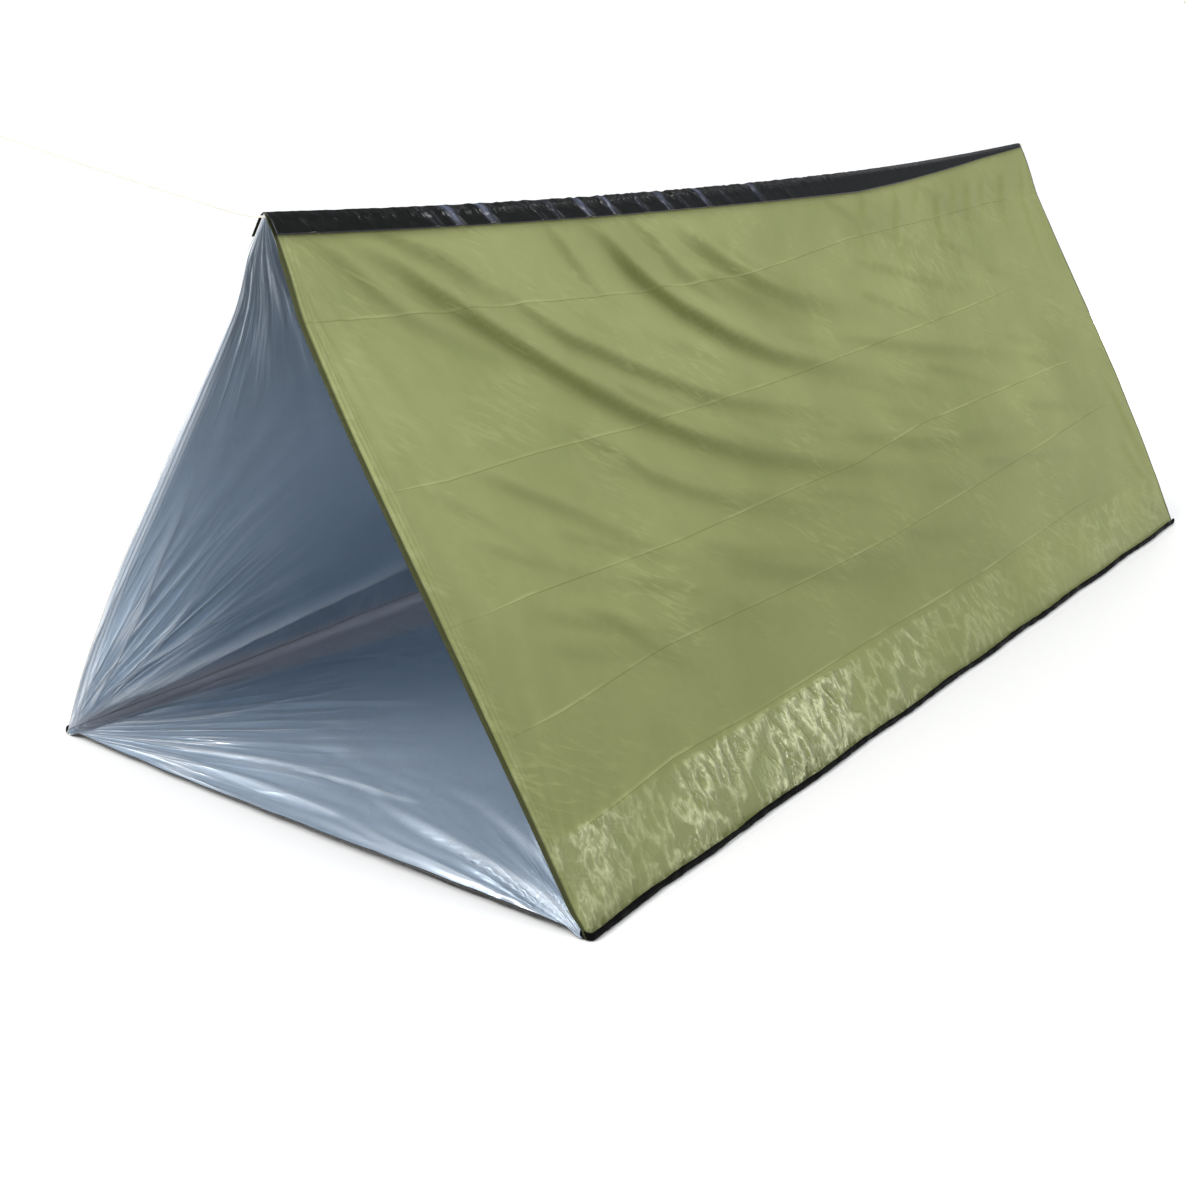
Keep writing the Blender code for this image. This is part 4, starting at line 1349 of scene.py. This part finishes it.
def weldedEdgeTree():
    add, given = startTree("weldedEdge", "Height", "Thickness", "Ring Step", "Lump Size", "Lump Height")
    rings = add("GeometryNodeResampleCurve", "LENGTH", given["Geometry"], Length=given["Ring Step"])
    upright = add("GeometryNodeSetCurveNormal", "Z_UP", rings)
    size = add("CombineXYZ", None, given["Thickness"], given["Height"], 1.0)
    circle = add("GeometryNodeCurvePrimitiveCircle", Resolution=seamSettings["outlinePoints"], Radius=0.5)
    flattened = add("GeometryNodeTransform", None, circle, Scale=size)
    swept = add("GeometryNodeCurveToMesh", None, upright, flattened, **{"Fill Caps": True})
    place = add("GeometryNodeInputPosition")
    pitch = add("Math", "DIVIDE", 1.0, given["Lump Size"])
    lumps = add("TexNoise", None, Vector=place, Scale=pitch, Detail=seamSettings["lumpDetail"])
    centred = add("Math", "SUBTRACT", lumps, 0.5)
    raised = add("Math", "MULTIPLY", centred, given["Lump Height"])
    return endTree(add, given, add("GeometryNodeSetShadeSmooth", None, moveOut(add, swept, raised)))


weldTree = weldedEdgeTree()


def makeSeam(name, node, side):
    s = seamSettings
    low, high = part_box(node)
    inner = min(abs(low.x), abs(high.x)) + s["inset"]
    front = low.y + s["frontStop"]
    corner = len(s["corner"])
    points, radii = [], []
    for i in range(s["points"]):
        y = front + (high.y - front) * max(i - corner + 1, 0) / (s["points"] - corner)
        flare = s["flare"] * math.exp(-(y - front) / s["flareLength"])
        out = inner + s["wave"] * math.sin(math.tau * y / s["waveLength"] + side) + s["flareOut"] * flare
        radius = 1 + s["swell"] * math.sin(math.tau * y / s["swellLength"]) + s["flareSwell"] * flare
        if i < corner:
            turnedIn, forwards, radius = s["corner"][i]
            out -= turnedIn * (1 if side == right else s["leftCornerShare"])
            y -= forwards
        points.append((side * out, y, s["height"] * s["middleShare"]))
        radii.append(radius)
    seam = bakeNodes(addLine(name, points, radii), weldTree, {
        "Height": s["height"], "Thickness": s["thickness"], "Ring Step": s["ringStep"],
        "Lump Size": s["lumpSize"], "Lump Height": s["lumpHeight"], "Material": weldedFilm})
    for vertex in seam.data.vertices:
        vertex.co.z = max(vertex.co.z, s["lowest"])
    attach(seam, "film_tube")
    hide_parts(node)


makeSeam("leftBaseSeam", "left_base_seam", left)
makeSeam("rightBaseSeam", "right_base_seam", right)
print("tent: seams welded")


# Studio: a pale floor that runs out of view to a white horizon, and soft light from above
studioSettings = {
    "floorReach": 60,
    "floorDrop": 0.0008,
    "floorColour": "#F6F6F5",
    "nearColour": "#DADAD9",
    "nearRange": (1.0, 2.6),
    "farGlow": 0.16,
    "floorRoughness": 0.95,
    "horizonColour": "#FFFFFF",
    "horizonStrength": 1.1,
    "roomColour": "#E2E8F0",
    "roomStrength": 0.28,
    "darkSide": (0.087, 0.996, 0),
    "darkRange": (0.86, 0.70),
    "horizonRange": (0.36, 0.10),
    "lowestRange": (0.06, 0.035),
    "sunPlace": (-0.22, -0.28, 1.0),
    "sunSoftness": 60,
    "sunPower": 2.47,
    # Soft lights, as (place, aim, size, power)
    "lamps": {
        "glint": ((4.3, 2.2, 2.9), (0.3, 0, 0.3), 1.1, 46),
        "side": ((2.7, -0.4, 3.7), (0, -0.6, 0.8), 1.3, 42),
        "front": ((-0.9, -3.4, 2.4), (0, -0.8, 0.3), 1.8, 82),
        "rear": ((-0.3, 4.2, 0.42), (-0.1, 0.5, 0.1), 0.8, 75),
        "ridge": ((0.1, 4.6, 3.3), (0, 0, 0.8), 1.2, 3),
    },
}


def makeStudioFloor():
    s = studioSettings
    mesh = bpy.data.meshes.new("studioFloor")
    reach = s["floorReach"]
    corners = [(reach * x, reach * y, -s["floorDrop"]) for x, y in ((-1, -1), (1, -1), (1, 1), (-1, 1))]
    mesh.from_pydata(corners, [], [(0, 1, 2, 3)])
    floor = addObject("studioFloor", mesh)
    material, add, shader = startMaterial("studio floor")
    place = add("TexCoord").outputs["Object"]
    distance = add("VectorMath", "LENGTH", place)
    far = add("MapRange", "SMOOTHSTEP", distance, *s["nearRange"])
    colour = add("Mix", "RGBA", Factor=far, A=hexColour(s["nearColour"]), B=hexColour(s["floorColour"]))
    fillInputs(shader, {
        "Base Color": colour,
        "Emission Color": hexColour(s["floorColour"]),
        "Emission Strength": add("Math", "MULTIPLY", far, s["farGlow"]),
        "Roughness": s["floorRoughness"]})
    mesh.materials.append(material)


def makeRoom():  # dim above a low white horizon, which is left out where the black strip would mirror it
    s = studioSettings
    world = bpy.data.worlds.new("studio")
    world.use_nodes = True
    tree = world.node_tree
    add = partial(addNode, tree)
    look = add("TexCoord").outputs["Generated"]
    flattened = add("VectorMath", "MULTIPLY", look, (1, 1, 0))
    level = add("VectorMath", "NORMALIZE", flattened)
    facing = add("VectorMath", "DOT_PRODUCT", level, s["darkSide"])
    lit = add("MapRange", "SMOOTHSTEP", facing, *s["darkRange"])
    height = add("SeparateXYZ", None, look).outputs["Z"]
    low = add("MapRange", "SMOOTHSTEP", height, *s["horizonRange"])
    band = add("Math", "MULTIPLY", lit, low)
    lowest = add("MapRange", "SMOOTHSTEP", height, *s["lowestRange"])
    share = add("Math", "MAXIMUM", band, lowest)
    dark, bright = [(*(part * s[name + "Strength"] for part in hexColour(s[name + "Colour"])[:3]), 1)
                    for name in ("room", "horizon")]
    colour = add("Mix", "RGBA", Factor=share, A=dark, B=bright)
    fillInputs(tree.nodes["Background"], {"Color": colour})
    bpy.context.scene.world = world


def addLights():
    s = studioSettings
    sun = bpy.data.lights.new("overhead", "SUN")
    sun.energy = s["sunPower"]
    sun.angle = math.radians(s["sunSoftness"])
    lamp = addObject("overhead", sun)
    lamp.matrix_world = Vector(s["sunPlace"]).to_track_quat("Z", "Y").to_matrix().to_4x4()
    for name, (place, aim, size, power) in s["lamps"].items():
        light = bpy.data.lights.new(name, "AREA")
        light.shape = "SQUARE"
        light.size = size
        light.energy = power
        turn = (Vector(aim) - Vector(place)).to_track_quat("-Z", "Y").to_matrix().to_4x4()
        addObject(name, light).matrix_world = Matrix.Translation(place) @ turn
    bpy.context.scene.view_settings.view_transform = "Standard"


makeStudioFloor()
makeRoom()
addLights()
print("tent: studio lit")
